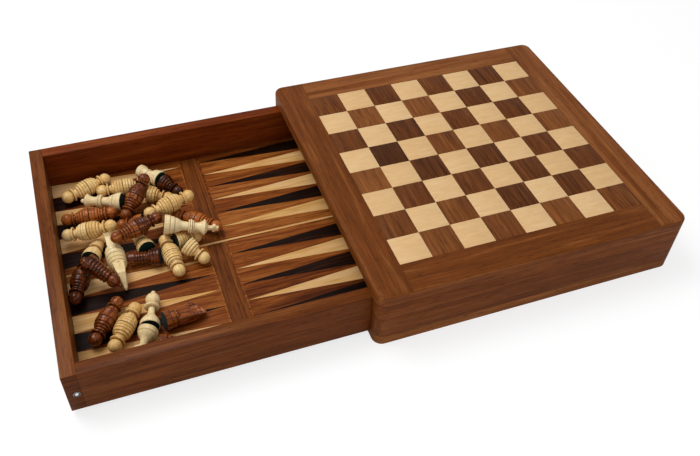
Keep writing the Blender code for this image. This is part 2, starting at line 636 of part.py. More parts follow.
class LyingPiece:
    """A turned piece on its side, with surface samples to find where it comes to rest."""

    SAMPLE_STEP = 1.5 * MM
    SAMPLES_ROUND = 14
    LIFT = 0.2 * MM

    def __init__(self, place: Place) -> None:
        """Set the outline, the axis and the samples of a piece, with its base at height 0."""
        shapes = outlines()
        upper = shapes[place.kinds[0]]
        lower = shapes[place.kinds[1]] if len(place.kinds) == 2 else []
        both = [(-height, radius) for height, radius in reversed(lower)] + upper
        self.outline = [(height * UNIT, radius * UNIT) for height, radius in both]
        tilt = self.natural_tilt() if place.tilt is None else math.radians(place.tilt)
        heading = math.radians(place.heading)
        level = math.cos(tilt)
        self.axis = np.array(
            [level * math.cos(heading), level * math.sin(heading), math.sin(tilt)]
        )
        self.offsets = self.surface()
        inner_left = -FIELD_LENGTH / 2
        inner_back = FIELD_WIDTH / 2
        self.base = np.array([inner_left + place.right * UNIT, inner_back - place.near * UNIT, 0.0])
        self.keep_between_walls()

    def natural_tilt(self) -> float:
        """Angle at which the head and the base's rim both touch a level floor."""
        rim_height, rim = max(self.outline[:4], key=lambda ring: ring[1])
        drops = [(rim - radius) / (height - rim_height) for height, radius in self.outline[8:]]
        return -math.atan(min(drops))

    def surface(self) -> np.ndarray:
        """Points all over the turned surface, from the base's centre."""
        heights = []
        radii = []
        for (low, low_radius), (high, high_radius) in zip(self.outline, self.outline[1:]):
            count = int((high - low) / self.SAMPLE_STEP) + 2
            heights.extend(np.linspace(low, high, count))
            radii.extend(np.linspace(low_radius, high_radius, count))
        side = np.array([-self.axis[1], self.axis[0], 0.0])
        side /= np.linalg.norm(side)
        up = np.cross(self.axis, side)
        angles = np.linspace(0, 2 * math.pi, self.SAMPLES_ROUND, endpoint=False)
        ring = np.cos(angles)[:, None] * side + np.sin(angles)[:, None] * up
        spread = np.array(radii)[:, None, None] * ring
        return (np.array(heights)[:, None, None] * self.axis + spread).reshape(-1, 3)

    def keep_between_walls(self) -> None:
        """Move the piece in from a wall that it would reach into."""
        for axis, half in ((0, FIELD_LENGTH / 2), (1, FIELD_WIDTH / 2)):
            low = (self.base + self.offsets)[:, axis].min() + half - GAP
            high = half - GAP - (self.base + self.offsets)[:, axis].max()
            self.base[axis] -= min(low, 0.0)
            self.base[axis] += min(high, 0.0)

    def holds(self, points: np.ndarray) -> bool:
        """Tell whether any of the points lies in this piece or within the gap round it."""
        away = points - self.base
        along = away @ self.axis
        aside = np.linalg.norm(away - along[:, None] * self.axis, axis=1)
        heights, radii = np.array(self.outline).T
        reach = np.interp(along, heights, radii) + GAP
        inside = (along > heights[0] - GAP) & (along < heights[-1] + GAP)
        return bool(np.any(inside & (aside < reach)))

    def settle(self, others: list) -> None:
        """Raise the piece from the floor until it clears every piece under it."""
        length = self.outline[-1][0] - self.outline[0][0]
        near = [
            other
            for other in others
            if np.hypot(*(other.base - self.base)[:2])
            < length + other.outline[-1][0] - other.outline[0][0]
        ]
        self.base[2] = FIELD_TOP + GAP - self.offsets[:, 2].min()
        while any(
            other.holds(self.base + self.offsets) or self.holds(other.base + other.offsets)
            for other in near
        ):
            self.base[2] += self.LIFT


def horse_head(name: str, drawer, sign: int):
    """Flat carved head of a knight, above or below the base's plane."""
    outline = [(x * UNIT, sign * height * UNIT) for x, height in HORSE_HEAD]
    half = HORSE_HEAD_HALF * UNIT
    head = prisms(name, [outline], -half, half, None, drawer)
    head.data.transform(Matrix.Rotation(math.pi / 2, 4, "X"))
    return head


def make_heap(drawer) -> None:
    """Lay the pieces in the drawer one after another, each on those before it."""
    settled: list[LyingPiece] = []
    for place in HEAP:
        lying = LyingPiece(place)
        lying.settle(settled)
        settled.append(lying)
        outline = lying.outline
        ends = [sign for sign, kind in zip((1, -1), place.kinds) if kind == "knight"]
        if 1 in ends:
            outline = outline[:-CARVED_RINGS]
        if -1 in ends:
            outline = outline[CARVED_RINGS:]
        piece = turned(place.name, outline, TURNED_STEPS, place.wood, drawer)
        turn = Vector(lying.axis).to_track_quat("Z", "X")
        piece.location = Vector(lying.base)
        piece.rotation_mode = "QUATERNION"
        piece.rotation_quaternion = turn
        for sign in ends:
            head = horse_head(f"{place.name}_head_{sign}", drawer, sign)
            head.location = piece.location
            head.rotation_mode = "QUATERNION"
            head.rotation_quaternion = turn
            combine(piece, head, "UNION")


def main() -> None:
    """Build the case, the board, the drawer, its catch and the heap of pieces."""
    clear_scene()
    make_case_walls()
    make_rails()
    make_board()
    drawer = bpy.data.objects.new("drawer_slide_axis", None)
    drawer.location.x = DRAWER_AT
    bpy.context.scene.collection.objects.link(drawer)
    make_drawer_box(drawer)
    make_field(drawer)
    make_catch(drawer)
    make_heap(drawer)


main()
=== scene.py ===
"""Looks of a wooden board game box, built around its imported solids.

The box carries an inlaid chess board on its top frame. Its drawer stands open, with a
backgammon field inlaid in the floor and a heap of turned chess pieces at its left end.
Lengths are in metres, in the frame's own axes: +X runs away from the drawer, +Y to the back.
"""

import logging
import math
import random
from collections.abc import Callable, Iterator
from contextlib import contextmanager
from dataclasses import dataclass, field
from enum import Enum

import bmesh
import bpy
import numpy as np
from mathutils import Euler, Matrix, Vector

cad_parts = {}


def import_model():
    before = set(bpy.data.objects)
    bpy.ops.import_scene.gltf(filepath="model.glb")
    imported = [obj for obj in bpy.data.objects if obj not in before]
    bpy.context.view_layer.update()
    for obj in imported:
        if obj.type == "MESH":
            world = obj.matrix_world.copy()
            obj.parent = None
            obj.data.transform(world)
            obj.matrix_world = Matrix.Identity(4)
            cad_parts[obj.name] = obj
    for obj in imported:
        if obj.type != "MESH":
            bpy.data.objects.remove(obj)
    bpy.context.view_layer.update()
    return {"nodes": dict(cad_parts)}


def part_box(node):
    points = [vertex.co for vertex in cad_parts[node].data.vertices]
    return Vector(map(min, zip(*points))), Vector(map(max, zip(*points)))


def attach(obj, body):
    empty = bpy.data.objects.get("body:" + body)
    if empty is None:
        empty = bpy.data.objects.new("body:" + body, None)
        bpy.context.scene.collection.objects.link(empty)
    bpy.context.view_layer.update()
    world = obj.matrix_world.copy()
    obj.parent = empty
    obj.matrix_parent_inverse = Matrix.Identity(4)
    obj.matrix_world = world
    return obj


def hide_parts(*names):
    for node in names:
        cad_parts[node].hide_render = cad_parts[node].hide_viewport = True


LOG = logging.getLogger("board_game_box")
MM = 0.001
GRAIN = "grain"
TONE = "tone"
BURNT = "burnt"
SMOOTH_ANGLE = math.radians(38)
# Half the gap between two inlaid pieces
JOINT = 0.05 * MM
# Two places nearer than this count as one
NEAR = 0.01 * MM
# Least part of a normal along an axis, for a flat face and for a rounded end to look that way
FACING = 0.9
END_FACING = 0.72
# Where the boards of the case and of the drawer are cut from the log
CASE_LOG = Vector((0.31, 0.77, 1.13))
DRAWER_LOG = Vector((1.42, 0.36, 0.91))


class Axis(Enum):
    """Direction that the grain of a board runs in, as an index of its coordinates."""

    X = 0
    Y = 1
    Z = 2


class Body(Enum):
    """The bodies that pieces ride on."""

    CASE = "case"
    DRAWER = "drawer"
    BALL = "catch_ball"


# ---------------------------------------------------------------- materials


def linear(colour: str) -> tuple[float, float, float, float]:
    """Turn an sRGB hex colour into a linear one.

    Args:
        colour: six hex digits after a hash sign.

    Returns:
        Linear red, green and blue, and an alpha of 1.
    """
    channels = []
    for start in (1, 3, 5):
        value = int(colour[start : start + 2], 16) / 255
        channels.append(value / 12.92 if value <= 0.04045 else ((value + 0.055) / 1.055) ** 2.4)
    return channels[0], channels[1], channels[2], 1.0


def add_node(
    tree: bpy.types.NodeTree,
    kind: str,
    settings: dict | None = None,
    links: dict | None = None,
    ramp: list[tuple[float, str]] | None = None,
) -> bpy.types.Node:
    """Add a node with its settings and links.

    Args:
        tree: node tree that it joins.
        kind: type of the node.
        settings: values by the name of a property, or by the name or index of an input.
        links: output sockets by the name or index of the input that they feed.
        ramp: places and hex colours of a colour ramp.

    Returns:
        The new node.
    """
    node = tree.nodes.new(kind)
    for name, value in (settings or {}).items():
        if isinstance(name, str) and hasattr(node, name):
            setattr(node, name, value)
    for name, value in (settings or {}).items():
        if not (isinstance(name, str) and hasattr(node, name)):
            node.inputs[name].default_value = value
    for name, source in (links or {}).items():
        tree.links.new(source, node.inputs[name])
    if ramp:
        stops = node.color_ramp.elements
        while len(stops) < len(ramp):
            stops.new(0.5)
        for stop, (place, colour) in zip(stops, ramp):
            stop.position = place
            stop.color = linear(colour)
    return node


def new_material(name: str) -> tuple[bpy.types.Material, bpy.types.Node]:
    """Make a material with an empty Principled shader.

    Args:
        name: name of the finish.

    Returns:
        The material and its shader node.
    """
    material = bpy.data.materials.new(name)
    material.use_nodes = True
    return material, material.node_tree.nodes["Principled BSDF"]


def mottled_material(
    name: str, width: float, detail: float, breakup: float, dark: str, light: str
) -> tuple[bpy.types.Material, bpy.types.Node, bpy.types.NodeSocket]:
    """Make a material whose colour is mottled evenly all ways, read from Object coordinates.

    Args:
        name: name of the finish.
        width: width of its specks.
        detail: layers of its noise.
        breakup: share of the finer layers.
        dark: colour of its dark specks.
        light: colour of its light specks.

    Returns:
        The material, its shader node and the socket of its noise.
    """
    material, shader = new_material(name)
    tree = material.node_tree
    place = add_node(tree, "ShaderNodeTexCoord").outputs["Object"]
    settings = {"Scale": 1 / width, "Detail": detail, "Roughness": breakup}
    noise = add_node(tree, "ShaderNodeTexNoise", settings, {"Vector": place}).outputs["Fac"]
    colour = add_node(
        tree, "ShaderNodeValToRGB", links={"Fac": noise}, ramp=[(0.3, dark), (0.7, light)]
    ).outputs["Color"]
    tree.links.new(colour, shader.inputs["Base Color"])
    return material, shader, noise


@dataclass(frozen=True)
class WoodFinish:
    """Sanded and waxed hardwood: streaks, fibres and pores that run along the grain.

    The wax gives a soft shine that the fibres break up. The pattern reads the grain
    attribute of a piece, whose first coordinate runs along the wood. The tone attribute
    moves a board towards the dark or the light end of its colours, and the burnt attribute
    darkens the grooves that a lathe tool has scorched. Each pattern has a width across the
    grain, and a length along it in such widths.
    """

    name: str
    dark: str
    middle: str
    light: str
    streak: float = 5.0 * MM
    streak_length: float = 18.0
    # Real fibres and pores are about 0.1 mm wide: these are as coarse as the render needs
    fibre: float = 1.2 * MM
    fibre_length: float = 30.0
    fibre_depth: float = 0.24
    pore: float = 0.75 * MM
    pore_length: float = 11.0
    pores: float = 0.42
    patch: float = 22.0 * MM
    patch_length: float = 2.5
    drift: str = "#8A4A22"
    drift_share: float = 0.25
    burnt: str = "#3A1E0C"
    burnt_share: float = 0.8
    contrast: float = 1.0
    relief: float = 0.35
    relief_depth: float = 0.06 * MM
    roughness: float = 0.46
    specular: float = 0.08
    shine: float = 0.03
    shine_roughness: float = 0.25

    def material(self) -> bpy.types.Material:
        """Build the finish.

        Returns:
            The material, for pieces that carry the grain and tone attributes.
        """
        material, shader = new_material(self.name)
        tree = material.node_tree
        read = {}
        for attribute, socket in ((GRAIN, "Vector"), (TONE, "Fac"), (BURNT, "Fac")):
            settings = {"attribute_name": attribute}
            read[attribute] = add_node(tree, "ShaderNodeAttribute", settings).outputs[socket]
        noise = {}
        for part, width, length, detail, breakup, warp in (
            ("streaks", self.streak, self.streak_length, 4.0, 0.62, 0.7),
            ("fibres", self.fibre, self.fibre_length, 2.0, 0.6, 0.0),
            ("pores", self.pore, self.pore_length, 1.0, 0.5, 0.0),
            ("drift", self.patch, self.patch_length, 2.0, 0.5, 0.0),
        ):
            scale = (1 / (width * length), 1 / width, 1 / width)
            stretched = add_node(tree, "ShaderNodeMapping", {"Scale": scale}, {"Vector": read[GRAIN]})
            settings = {"Scale": 1.0, "Detail": detail, "Roughness": breakup, "Distortion": warp}
            links = {"Vector": stretched.outputs["Vector"]}
            noise[part] = add_node(tree, "ShaderNodeTexNoise", settings, links).outputs["Fac"]
        level = {}
        for part, source, start, stop, low, high in (
            ("drift", "drift", 0.42, 0.72, 0.0, self.drift_share),
            ("fibres", "fibres", 0.3, 0.7, 1 - self.fibre_depth, 1 + self.fibre_depth),
            ("pores", "pores", 0.60, 0.70, 1.0, 1 - self.pores),
            ("roughness", "fibres", 0.35, 0.65, self.roughness + 0.07, self.roughness - 0.05),
        ):
            settings = {"From Min": start, "From Max": stop, "To Min": low, "To Max": high}
            links = {"Value": noise[source]}
            level[part] = add_node(tree, "ShaderNodeMapRange", settings, links).outputs["Result"]
        spread = add_node(
            tree,
            "ShaderNodeMath",
            {"operation": "MULTIPLY_ADD", 1: self.contrast, 2: 0.5 - self.contrast / 2},
            {0: noise["streaks"]},
        ).outputs["Value"]
        toned = add_node(
            tree, "ShaderNodeMath", {"operation": "ADD"}, {0: spread, 1: read[TONE]}
        ).outputs["Value"]
        colour = add_node(
            tree,
            "ShaderNodeValToRGB",
            links={"Fac": toned},
            ramp=[(0.22, self.dark), (0.5, self.middle), (0.78, self.light)],
        ).outputs["Color"]
        drifted = add_node(
            tree,
            "ShaderNodeMix",
            {"data_type": "RGBA", 7: linear(self.drift)},
            {0: level["drift"], 6: colour},
        ).outputs[2]
        shade = add_node(
            tree, "ShaderNodeMath", {"operation": "MULTIPLY"}, {0: level["fibres"], 1: level["pores"]}
        ).outputs["Value"]
        shaded = add_node(
            tree, "ShaderNodeVectorMath", {"operation": "SCALE"}, {0: drifted, "Scale": shade}
        ).outputs["Vector"]
        bump = add_node(
            tree,
            "ShaderNodeBump",
            {"Strength": self.relief, "Distance": self.relief_depth},
            {"Height": shade},
        ).outputs["Normal"]
        burnt_share = add_node(
            tree, "ShaderNodeMapRange", {"To Max": self.burnt_share}, {"Value": read[BURNT]}
        ).outputs["Result"]
        scorched = add_node(
            tree,
            "ShaderNodeMix",
            {"data_type": "RGBA", 7: linear(self.burnt)},
            {0: burnt_share, 6: shaded},
        ).outputs[2]
        tree.links.new(scorched, shader.inputs["Base Color"])
        tree.links.new(level["roughness"], shader.inputs["Roughness"])
        tree.links.new(bump, shader.inputs["Normal"])
        shader.inputs["IOR"].default_value = 1.5
        shader.inputs["Specular IOR Level"].default_value = self.specular
        shader.inputs["Coat Weight"].default_value = self.shine
        shader.inputs["Coat Roughness"].default_value = self.shine_roughness
        return material


@dataclass(frozen=True)
class FeltFinish:
    """Pressed wool felt glued under a base: no shine, and a fuzzy mottled dark green."""

    name: str
    dark: str
    light: str
    fuzz: float = 0.35 * MM
    pile: float = 0.1 * MM

    def material(self) -> bpy.types.Material:
        """Build the finish.

        Returns:
            The material, read from Object coordinates.
        """
        material, shader, wool = mottled_material(self.name, self.fuzz, 3.0, 0.7, self.dark, self.light)
        bump = add_node(
            material.node_tree,
            "ShaderNodeBump",
            {"Strength": 0.8, "Distance": self.pile},
            {"Height": wool},
        ).outputs["Normal"]
        material.node_tree.links.new(bump, shader.inputs["Normal"])
        for socket, value in (
            ("Roughness", 0.95),
            ("Sheen Weight", 0.05),
            ("Sheen Roughness", 0.6),
            ("Specular IOR Level", 0.05),
        ):
            shader.inputs[socket].default_value = value
        return material


@dataclass(frozen=True)
class SteelFinish:
    """Drawn or rolled steel: a bright metal whose fine marks spread its highlight."""

    name: str
    dark: str
    light: str
    mark: float
    roughness: float
    spread: float = 0.3

    def material(self) -> bpy.types.Material:
        """Build the finish.

        Returns:
            The material, read from Object coordinates.
        """
        material, shader, marks = mottled_material(self.name, self.mark, 4.0, 0.6, self.dark, self.light)
        dull = self.roughness * self.spread
        levels = {"To Min": self.roughness - dull, "To Max": self.roughness + dull}
        rough = add_node(
            material.node_tree,
            "ShaderNodeMapRange",
            {"From Min": 0.3, "From Max": 0.7, **levels},
            {"Value": marks},
        ).outputs["Result"]
        material.node_tree.links.new(rough, shader.inputs["Roughness"])
        shader.inputs["Metallic"].default_value = 1.0
        return material


class Finishes:
    """Every finish of the box, built once and shared by the pieces."""

    def __init__(self) -> None:
        """Build the woods, the felt and the steels."""
        # Waxed sheesham of the case: warm mid brown with long dark streaks
        self.frame_wood = WoodFinish(
            "waxed_sheesham", "#4A2008", "#6F3A12", "#A06436", streak=6.5 * MM, streak_length=22.0,
            contrast=0.75,
        ).material()
        # The drawer's walls are the same wood, cut darker and calmer
        self.drawer_wood = WoodFinish(
            "dark_waxed_sheesham", "#431C06", "#67340F", "#8C5428", streak=6.0 * MM, streak_length=22.0,
            contrast=0.7, drift="#7C3B14",
        ).material()
        # The back wall of the drawer: the same sheesham, painted a darker red amber that stands in for
        # the shade inside the drawer and the red light bounced off its walls
        self.shaded_amber_wood = WoodFinish(
            "amber_sheesham_painted_shade", "#481903", "#6F2D08", "#8F4A18", streak=6.0 * MM, contrast=0.8,
            drift="#8A3A0A",
        ).material()
        # Thin veneer of the field: narrow orange and dark bands
        self.field_wood = WoodFinish(
            "waxed_sheesham_veneer", "#4A1C05", "#824112", "#AC6A2E", streak=3.2 * MM, contrast=1.25,
        ).material()
        # Dark squares: brown veneer with fine streaks
        self.dark_squares = WoodFinish(
            "dark_sheesham_veneer", "#40200C", "#6C3B19", "#90572A", streak=2.6 * MM, contrast=0.85,
            drift="#7C4724", fibre_depth=0.2, pores=0.35,
        ).material()
        # Cross strips: calm brown staves
        self.strip_wood = WoodFinish(
            "seamed_sheesham_strip", "#4E260A", "#743C14", "#8C5426", streak=3.0 * MM, drift="#70401C",
            contrast=0.8,
        ).material()
        # Smoked points: nearly black, with a few brown bands
        self.ebony = WoodFinish(
            "smoked_sheesham_veneer", "#0A0301", "#170802", "#3C1A0A", streak=3.0 * MM, drift="#2E1406",
            contrast=1.2,
        ).material()
        # Maple squares: even pale cream, almost without fibres
        self.maple_squares = WoodFinish(
            "maple_veneer", "#D8AE7A", "#E2BA86", "#EAC798", streak=3.2 * MM, streak_length=4.0,
            fibre_depth=0.03, pores=0.03, drift="#DAAE78", drift_share=0.35, contrast=0.8,
        ).material()
        # Maple points and centre line: cream maple, painted a deeper honey yellow that stands in for the
        # warm bounced light in the shade of the case and the drawer's walls
        self.maple_points = WoodFinish(
            "maple_veneer_painted_warm_shade", "#C08C48", "#DDAC6C", "#EAC392", streak=2.6 * MM, streak_length=14.0,
            fibre_depth=0.07, pores=0.08, drift="#C8924A", contrast=1.2,
        ).material()
        # Turned boxwood, polished on the lathe: golden, with a small soft highlight
        polished = {"roughness": 0.34, "specular": 0.22, "shine": 0.12, "shine_roughness": 0.14}
        turned = {"streak_length": 16.0, "fibre": 0.5 * MM, "pores": 0.05}
        self.boxwood = WoodFinish(
            "turned_boxwood", "#C48F48", "#EDC47E", "#FADFA8", streak=1.6 * MM, fibre_depth=0.06,
            drift="#D8A050", contrast=1.1, burnt="#7A4A18", burnt_share=0.75, **turned, **polished,
        ).material()
        # The tall pale pieces are bleached to cream
        self.pale_boxwood = WoodFinish(
            "bleached_boxwood", "#D6B67A", "#F2D6A0", "#FBEAC2", streak=1.8 * MM, fibre_depth=0.05,
            drift="#DEC284", burnt="#8A6A34", burnt_share=0.6, **turned, **polished,
        ).material()
        # Rosewood with a hard polish: deep red brown with black bands and sharp highlights
        self.rosewood = WoodFinish(
            "polished_rosewood", "#280D03", "#73350F", "#B86628", streak=1.8 * MM, streak_length=14.0,
            fibre=0.5 * MM, fibre_depth=0.2, pores=0.3, drift="#3A1406", contrast=1.4,
            roughness=0.3, specular=0.16, shine=0.28, shine_roughness=0.06, burnt="#180601",
        ).material()
        self.felt = FeltFinish("green_wool_felt", "#06100A", "#102A1C").material()
        # Rolled steel is satin grey; the ball is ground and polished like a mirror
        self.steel = SteelFinish("rolled_steel", "#6A6C70", "#9A9CA0", 0.4 * MM, 0.3).material()
        self.polished_steel = SteelFinish(
            "polished_bearing_steel", "#E4E5E8", "#F2F3F4", 0.6 * MM, 0.08
        ).material()


# ---------------------------------------------------------------- modelling tools


def deselect() -> None:
    """Leave edit mode and clear the selection."""
    if bpy.context.object is not None and bpy.context.object.mode != "OBJECT":
        bpy.ops.object.mode_set(mode="OBJECT")
    bpy.ops.object.select_all(action="DESELECT")


def activate(piece: bpy.types.Object) -> None:
    """Select one piece alone and make it the active one.

    Args:
        piece: object to select.
    """
    deselect()
    piece.select_set(True)
    bpy.context.view_layer.objects.active = piece


@contextmanager
def editing(piece: bpy.types.Object, mode: str) -> Iterator[None]:
    """Hold a piece in edit mode, with nothing selected at the start.

    Args:
        piece: mesh object to edit.
        mode: VERT, EDGE or FACE.

    Yields:
        Nothing: the caller edits the selection.
    """
    activate(piece)
    bpy.ops.object.mode_set(mode="EDIT")
    bpy.ops.mesh.select_mode(type=mode)
    bpy.ops.mesh.select_all(action="DESELECT")
    yield
    bpy.ops.object.mode_set(mode="OBJECT")


def pick(piece: bpy.types.Object, mode: str, chosen: Callable[..., bool]) -> None:
    """Add to the selection of a piece in edit mode what passes a test.

    Args:
        piece: mesh object in edit mode.
        mode: VERT, EDGE or FACE.
        chosen: test for one vertex, edge or face.
    """
    shape = bmesh.from_edit_mesh(piece.data)
    items = {"VERT": shape.verts, "EDGE": shape.edges, "FACE": shape.faces}[mode]
    for item in items:
        if chosen(item):
            item.select_set(True)
    shape.select_flush_mode()
    bmesh.update_edit_mesh(piece.data)


def add_block(name: str, low: Vector, high: Vector) -> bpy.types.Object:
    """Add a cube stretched between two corners, with its place in its mesh.

    Args:
        name: name of the piece.
        low: lowest corner.
        high: highest corner.

    Returns:
        The block, ready to be shaped.
    """
    deselect()
    low = Vector(low)
    high = Vector(high)
    bpy.ops.mesh.primitive_cube_add(size=1, location=(low + high) / 2)
    piece = bpy.context.active_object
    piece.name = name
    piece.scale = high - low
    bpy.ops.object.transform_apply(location=True, rotation=True, scale=True)
    return piece


def bevel_edges(
    piece: bpy.types.Object, width: float, segments: int, chosen: Callable[[bmesh.types.BMEdge], bool]
) -> None:
    """Round the edges of a piece that pass a test.

    Args:
        piece: mesh object.
        width: width of the rounding.
        segments: faces across it.
        chosen: test for one edge.
    """
    with editing(piece, "EDGE"):
        pick(piece, "EDGE", chosen)
        bpy.ops.mesh.bevel(offset=width, segments=segments, profile=0.5, affect="EDGES")


def is_upright(edge: bmesh.types.BMEdge, height: float) -> bool:
    """Tell whether an edge stands up over more than half of a height."""
    return abs(edge.verts[0].co.z - edge.verts[1].co.z) > height / 2


def shape_with(piece: bpy.types.Object, kind: str, **settings: object) -> None:
    """Shape a piece with an applied modifier.

    Args:
        piece: mesh object.
        kind: type of the modifier.
        settings: values by the name of a property of the modifier.
    """
    activate(piece)
    modifier = piece.modifiers.new("shaping", kind)
    for name, value in settings.items():
        setattr(modifier, name, value)
    bpy.ops.object.modifier_apply(modifier=modifier.name)


def ease_edges(
    piece: bpy.types.Object, width: float, segments: int = 2, angle: float = math.radians(40)
) -> None:
    """Break every sharp edge of a piece.

    Args:
        piece: mesh object.
        width: width of the broken edge.
        segments: faces across it.
        angle: least angle between the faces of a sharp edge.
    """
    shape_with(
        piece, "BEVEL", width=width, segments=segments, limit_method="ANGLE", angle_limit=angle
    )


def smooth(piece: bpy.types.Object, angle: float = SMOOTH_ANGLE) -> None:
    """Shade a piece smooth.

    Args:
        piece: mesh object.
        angle: largest angle between two faces that stays smooth.
    """
    activate(piece)
    bpy.ops.object.shade_smooth_by_angle(angle=angle)


def points_of(mesh: bpy.types.Mesh) -> np.ndarray:
    """Read the places of a mesh's vertices.

    Args:
        mesh: the mesh to read.

    Returns:
        One row of x, y and z for each vertex.
    """
    places = np.empty(len(mesh.vertices) * 3, np.float32)
    mesh.vertices.foreach_get("co", places)
    return places.reshape(-1, 3)


def mark_wood(
    piece: bpy.types.Object,
    axis: Axis,
    offset: Vector,
    tone: float,
    wrap: Axis | None = None,
    wrap_tones: tuple[float, float] = (0.0, 0.0),
) -> None:
    """Store where each face corner of a piece lies in its log, and the tone of the piece.

    Args:
        piece: mesh object in its final shape, or before it is laid in its place.
        axis: direction of the grain.
        offset: place of this piece in the log, so that no two pieces look alike.
        tone: shift towards the dark (below 0) or the light end of the wood's colours.
        wrap: direction of the grain on the ends, where a board's veneer carries on round them.
        wrap_tones: tones of its ends, at the low and the high end.
    """
    mesh = piece.data
    corners = np.empty(len(mesh.loops), np.int32)
    mesh.loops.foreach_get("vertex_index", corners)
    normals = np.empty(len(mesh.polygons) * 3, np.float32)
    mesh.polygons.foreach_get("normal", normals)
    sizes = np.empty(len(mesh.polygons), np.int32)
    mesh.polygons.foreach_get("loop_total", sizes)
    places = points_of(mesh)[corners]
    facing = np.repeat(normals.reshape(-1, 3)[:, axis.value], sizes)
    on_end = np.abs(facing) > END_FACING
    order = [axis.value] + [index for index in range(3) if index != axis.value]
    pattern = places[:, order]
    tones = np.full(len(corners), tone, np.float32)
    if wrap is not None:
        order = [wrap.value] + [index for index in range(3) if index != wrap.value]
        pattern[on_end] = places[on_end][:, order]
        tones[on_end] = np.where(facing[on_end] > 0, wrap_tones[1], wrap_tones[0])
    pattern = (pattern + np.array(offset, np.float32)).astype(np.float32)
    mesh.attributes.new(GRAIN, "FLOAT_VECTOR", "CORNER").data.foreach_set("vector", pattern.ravel())
    mesh.attributes.new(TONE, "FLOAT", "CORNER").data.foreach_set("value", tones)


def join(pieces: list[bpy.types.Object], name: str) -> bpy.types.Object:
    """Join several pieces into one.

    Args:
        pieces: mesh objects with their places in their meshes.
        name: name of the result.

    Returns:
        The joined piece.
    """
    deselect()
    for piece in pieces:
        piece.select_set(True)
    bpy.context.view_layer.objects.active = pieces[0]
    if len(pieces) > 1:
        bpy.ops.object.join()
    pieces[0].name = name
    pieces[0].data.name = name
    return pieces[0]


def copy_of(piece: bpy.types.Object, name: str) -> bpy.types.Object:
    """Copy a piece with its own mesh.

    Args:
        piece: object to copy.
        name: name of the copy.

    Returns:
        The copy, in the scene.
    """
    twin = piece.copy()
    twin.data = piece.data.copy()
    twin.name = name
    bpy.context.scene.collection.objects.link(twin)
    return twin


def finish_piece(
    piece: bpy.types.Object, material: bpy.types.Material, body: Body, slot: str | None, *nodes: str
) -> None:
    """Dress a piece, let it ride on its body and stand for the CAD nodes that it replaces.

    Args:
        piece: finished mesh object.
        material: its finish.
        body: the body that it rides on.
        slot: not used (the name of a material slot in the part, or None).
        nodes: CAD nodes that it replaces.
    """
    piece.data.materials.clear()
    piece.data.materials.append(material)
    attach(piece, body.value)
    if nodes:
        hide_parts(*nodes)
    LOG.info("%s rides on %s, %d faces", piece.name, body.value, len(piece.data.polygons))


class Log:
    """Gives each board its own place in the log, the same in each run."""

    REACH = 2.0

    def __init__(self, seed: int) -> None:
        """Start the draws from a seed."""
        self.draw = random.Random(seed)

    def offset(self) -> Vector:
        """Return a place in the log."""
        return Vector([self.draw.uniform(0, self.REACH) for _ in range(3)])

    def tone(self, spread: float) -> float:
        """Return a tone between plus and minus a spread."""
        return self.draw.uniform(-spread, spread)


# ---------------------------------------------------------------- case and board


@dataclass
class CaseBox:
    """Bottom plate and three walls under the top frame, with round upright corners.

    Each wall is a board on a lighter lipping, which carries on the edge of the plate.
    """

    finishes: Finishes
    corner_radius: float = 7.6 * MM
    corner_steps: int = 10
    edge_round: float = 0.1 * MM
    reach: float = 0.25 * MM
    lip: float = 4.2 * MM
    lip_tone: float = 0.1
    offset: Vector = CASE_LOG
    tone: float = -0.04
    back_tone: float = 0.1

    def rounded_block(
        self, name: str, low: Vector, high: Vector, corners: Callable[[Vector], bool]
    ) -> bpy.types.Object:
        """Make a block with some of its upright corners rounded.

        Args:
            name: name of the block.
            low: its lowest corner.
            high: its highest corner.
            corners: test for the upright edges to round, by their middle point.

        Returns:
            The block.
        """
        piece = add_block(name, low, high)

        def is_corner(edge: bmesh.types.BMEdge) -> bool:
            """Tell whether an edge stands upright at a corner to round."""
            first, second = (end.co for end in edge.verts)
            return is_upright(edge, high.z - low.z) and corners((first + second) / 2)

        bevel_edges(piece, self.corner_radius, self.corner_steps, is_corner)
        return piece

    def build(self) -> None:
        """Model and dress the plate, and the three walls on their lipping."""
        low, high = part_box("case_bottom")
        high.z += self.reach
        inside = high.x - self.corner_radius
        plate = self.rounded_block("case_bottom_wood", low, high, lambda middle: True)
        self.dress(plate, Axis.X, self.lip_tone)
        finish_piece(plate, self.finishes.frame_wood, Body.CASE, "sheesham", "case_bottom")
        for node, axis, tone, corners in (
            ("case_back_wall", Axis.X, self.back_tone, lambda middle: middle.y > inside),
            ("case_near_wall", Axis.X, self.tone, lambda middle: middle.y < -inside),
            ("case_end_wall", Axis.Y, self.tone, lambda middle: False),
        ):
            low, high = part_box(node)
            seam = low.z + self.lip
            lip = self.rounded_block(f"{node}_lip", low, Vector((high.x, high.y, seam - JOINT)), corners)
            self.dress(lip, axis, self.lip_tone)
            low.z = seam + JOINT
            high.z += self.reach
            board = self.rounded_block(f"{node}_board", low, high, corners)
            self.dress(board, axis, tone)
            wall = join([board, lip], f"{node}_wood")
            finish_piece(wall, self.finishes.frame_wood, Body.CASE, "sheesham", node)

    def dress(self, piece: bpy.types.Object, axis: Axis, tone: float) -> None:
        """Ease the edges of a part and mark its grain.

        Args:
            piece: the modelled part.
            axis: direction of its grain.
            tone: its shade.
        """
        ease_edges(piece, self.edge_round)
        smooth(piece)
        wrap = Axis.Y if axis is Axis.X else Axis.X
        mark_wood(piece, axis, self.offset, tone, wrap, (tone, tone))


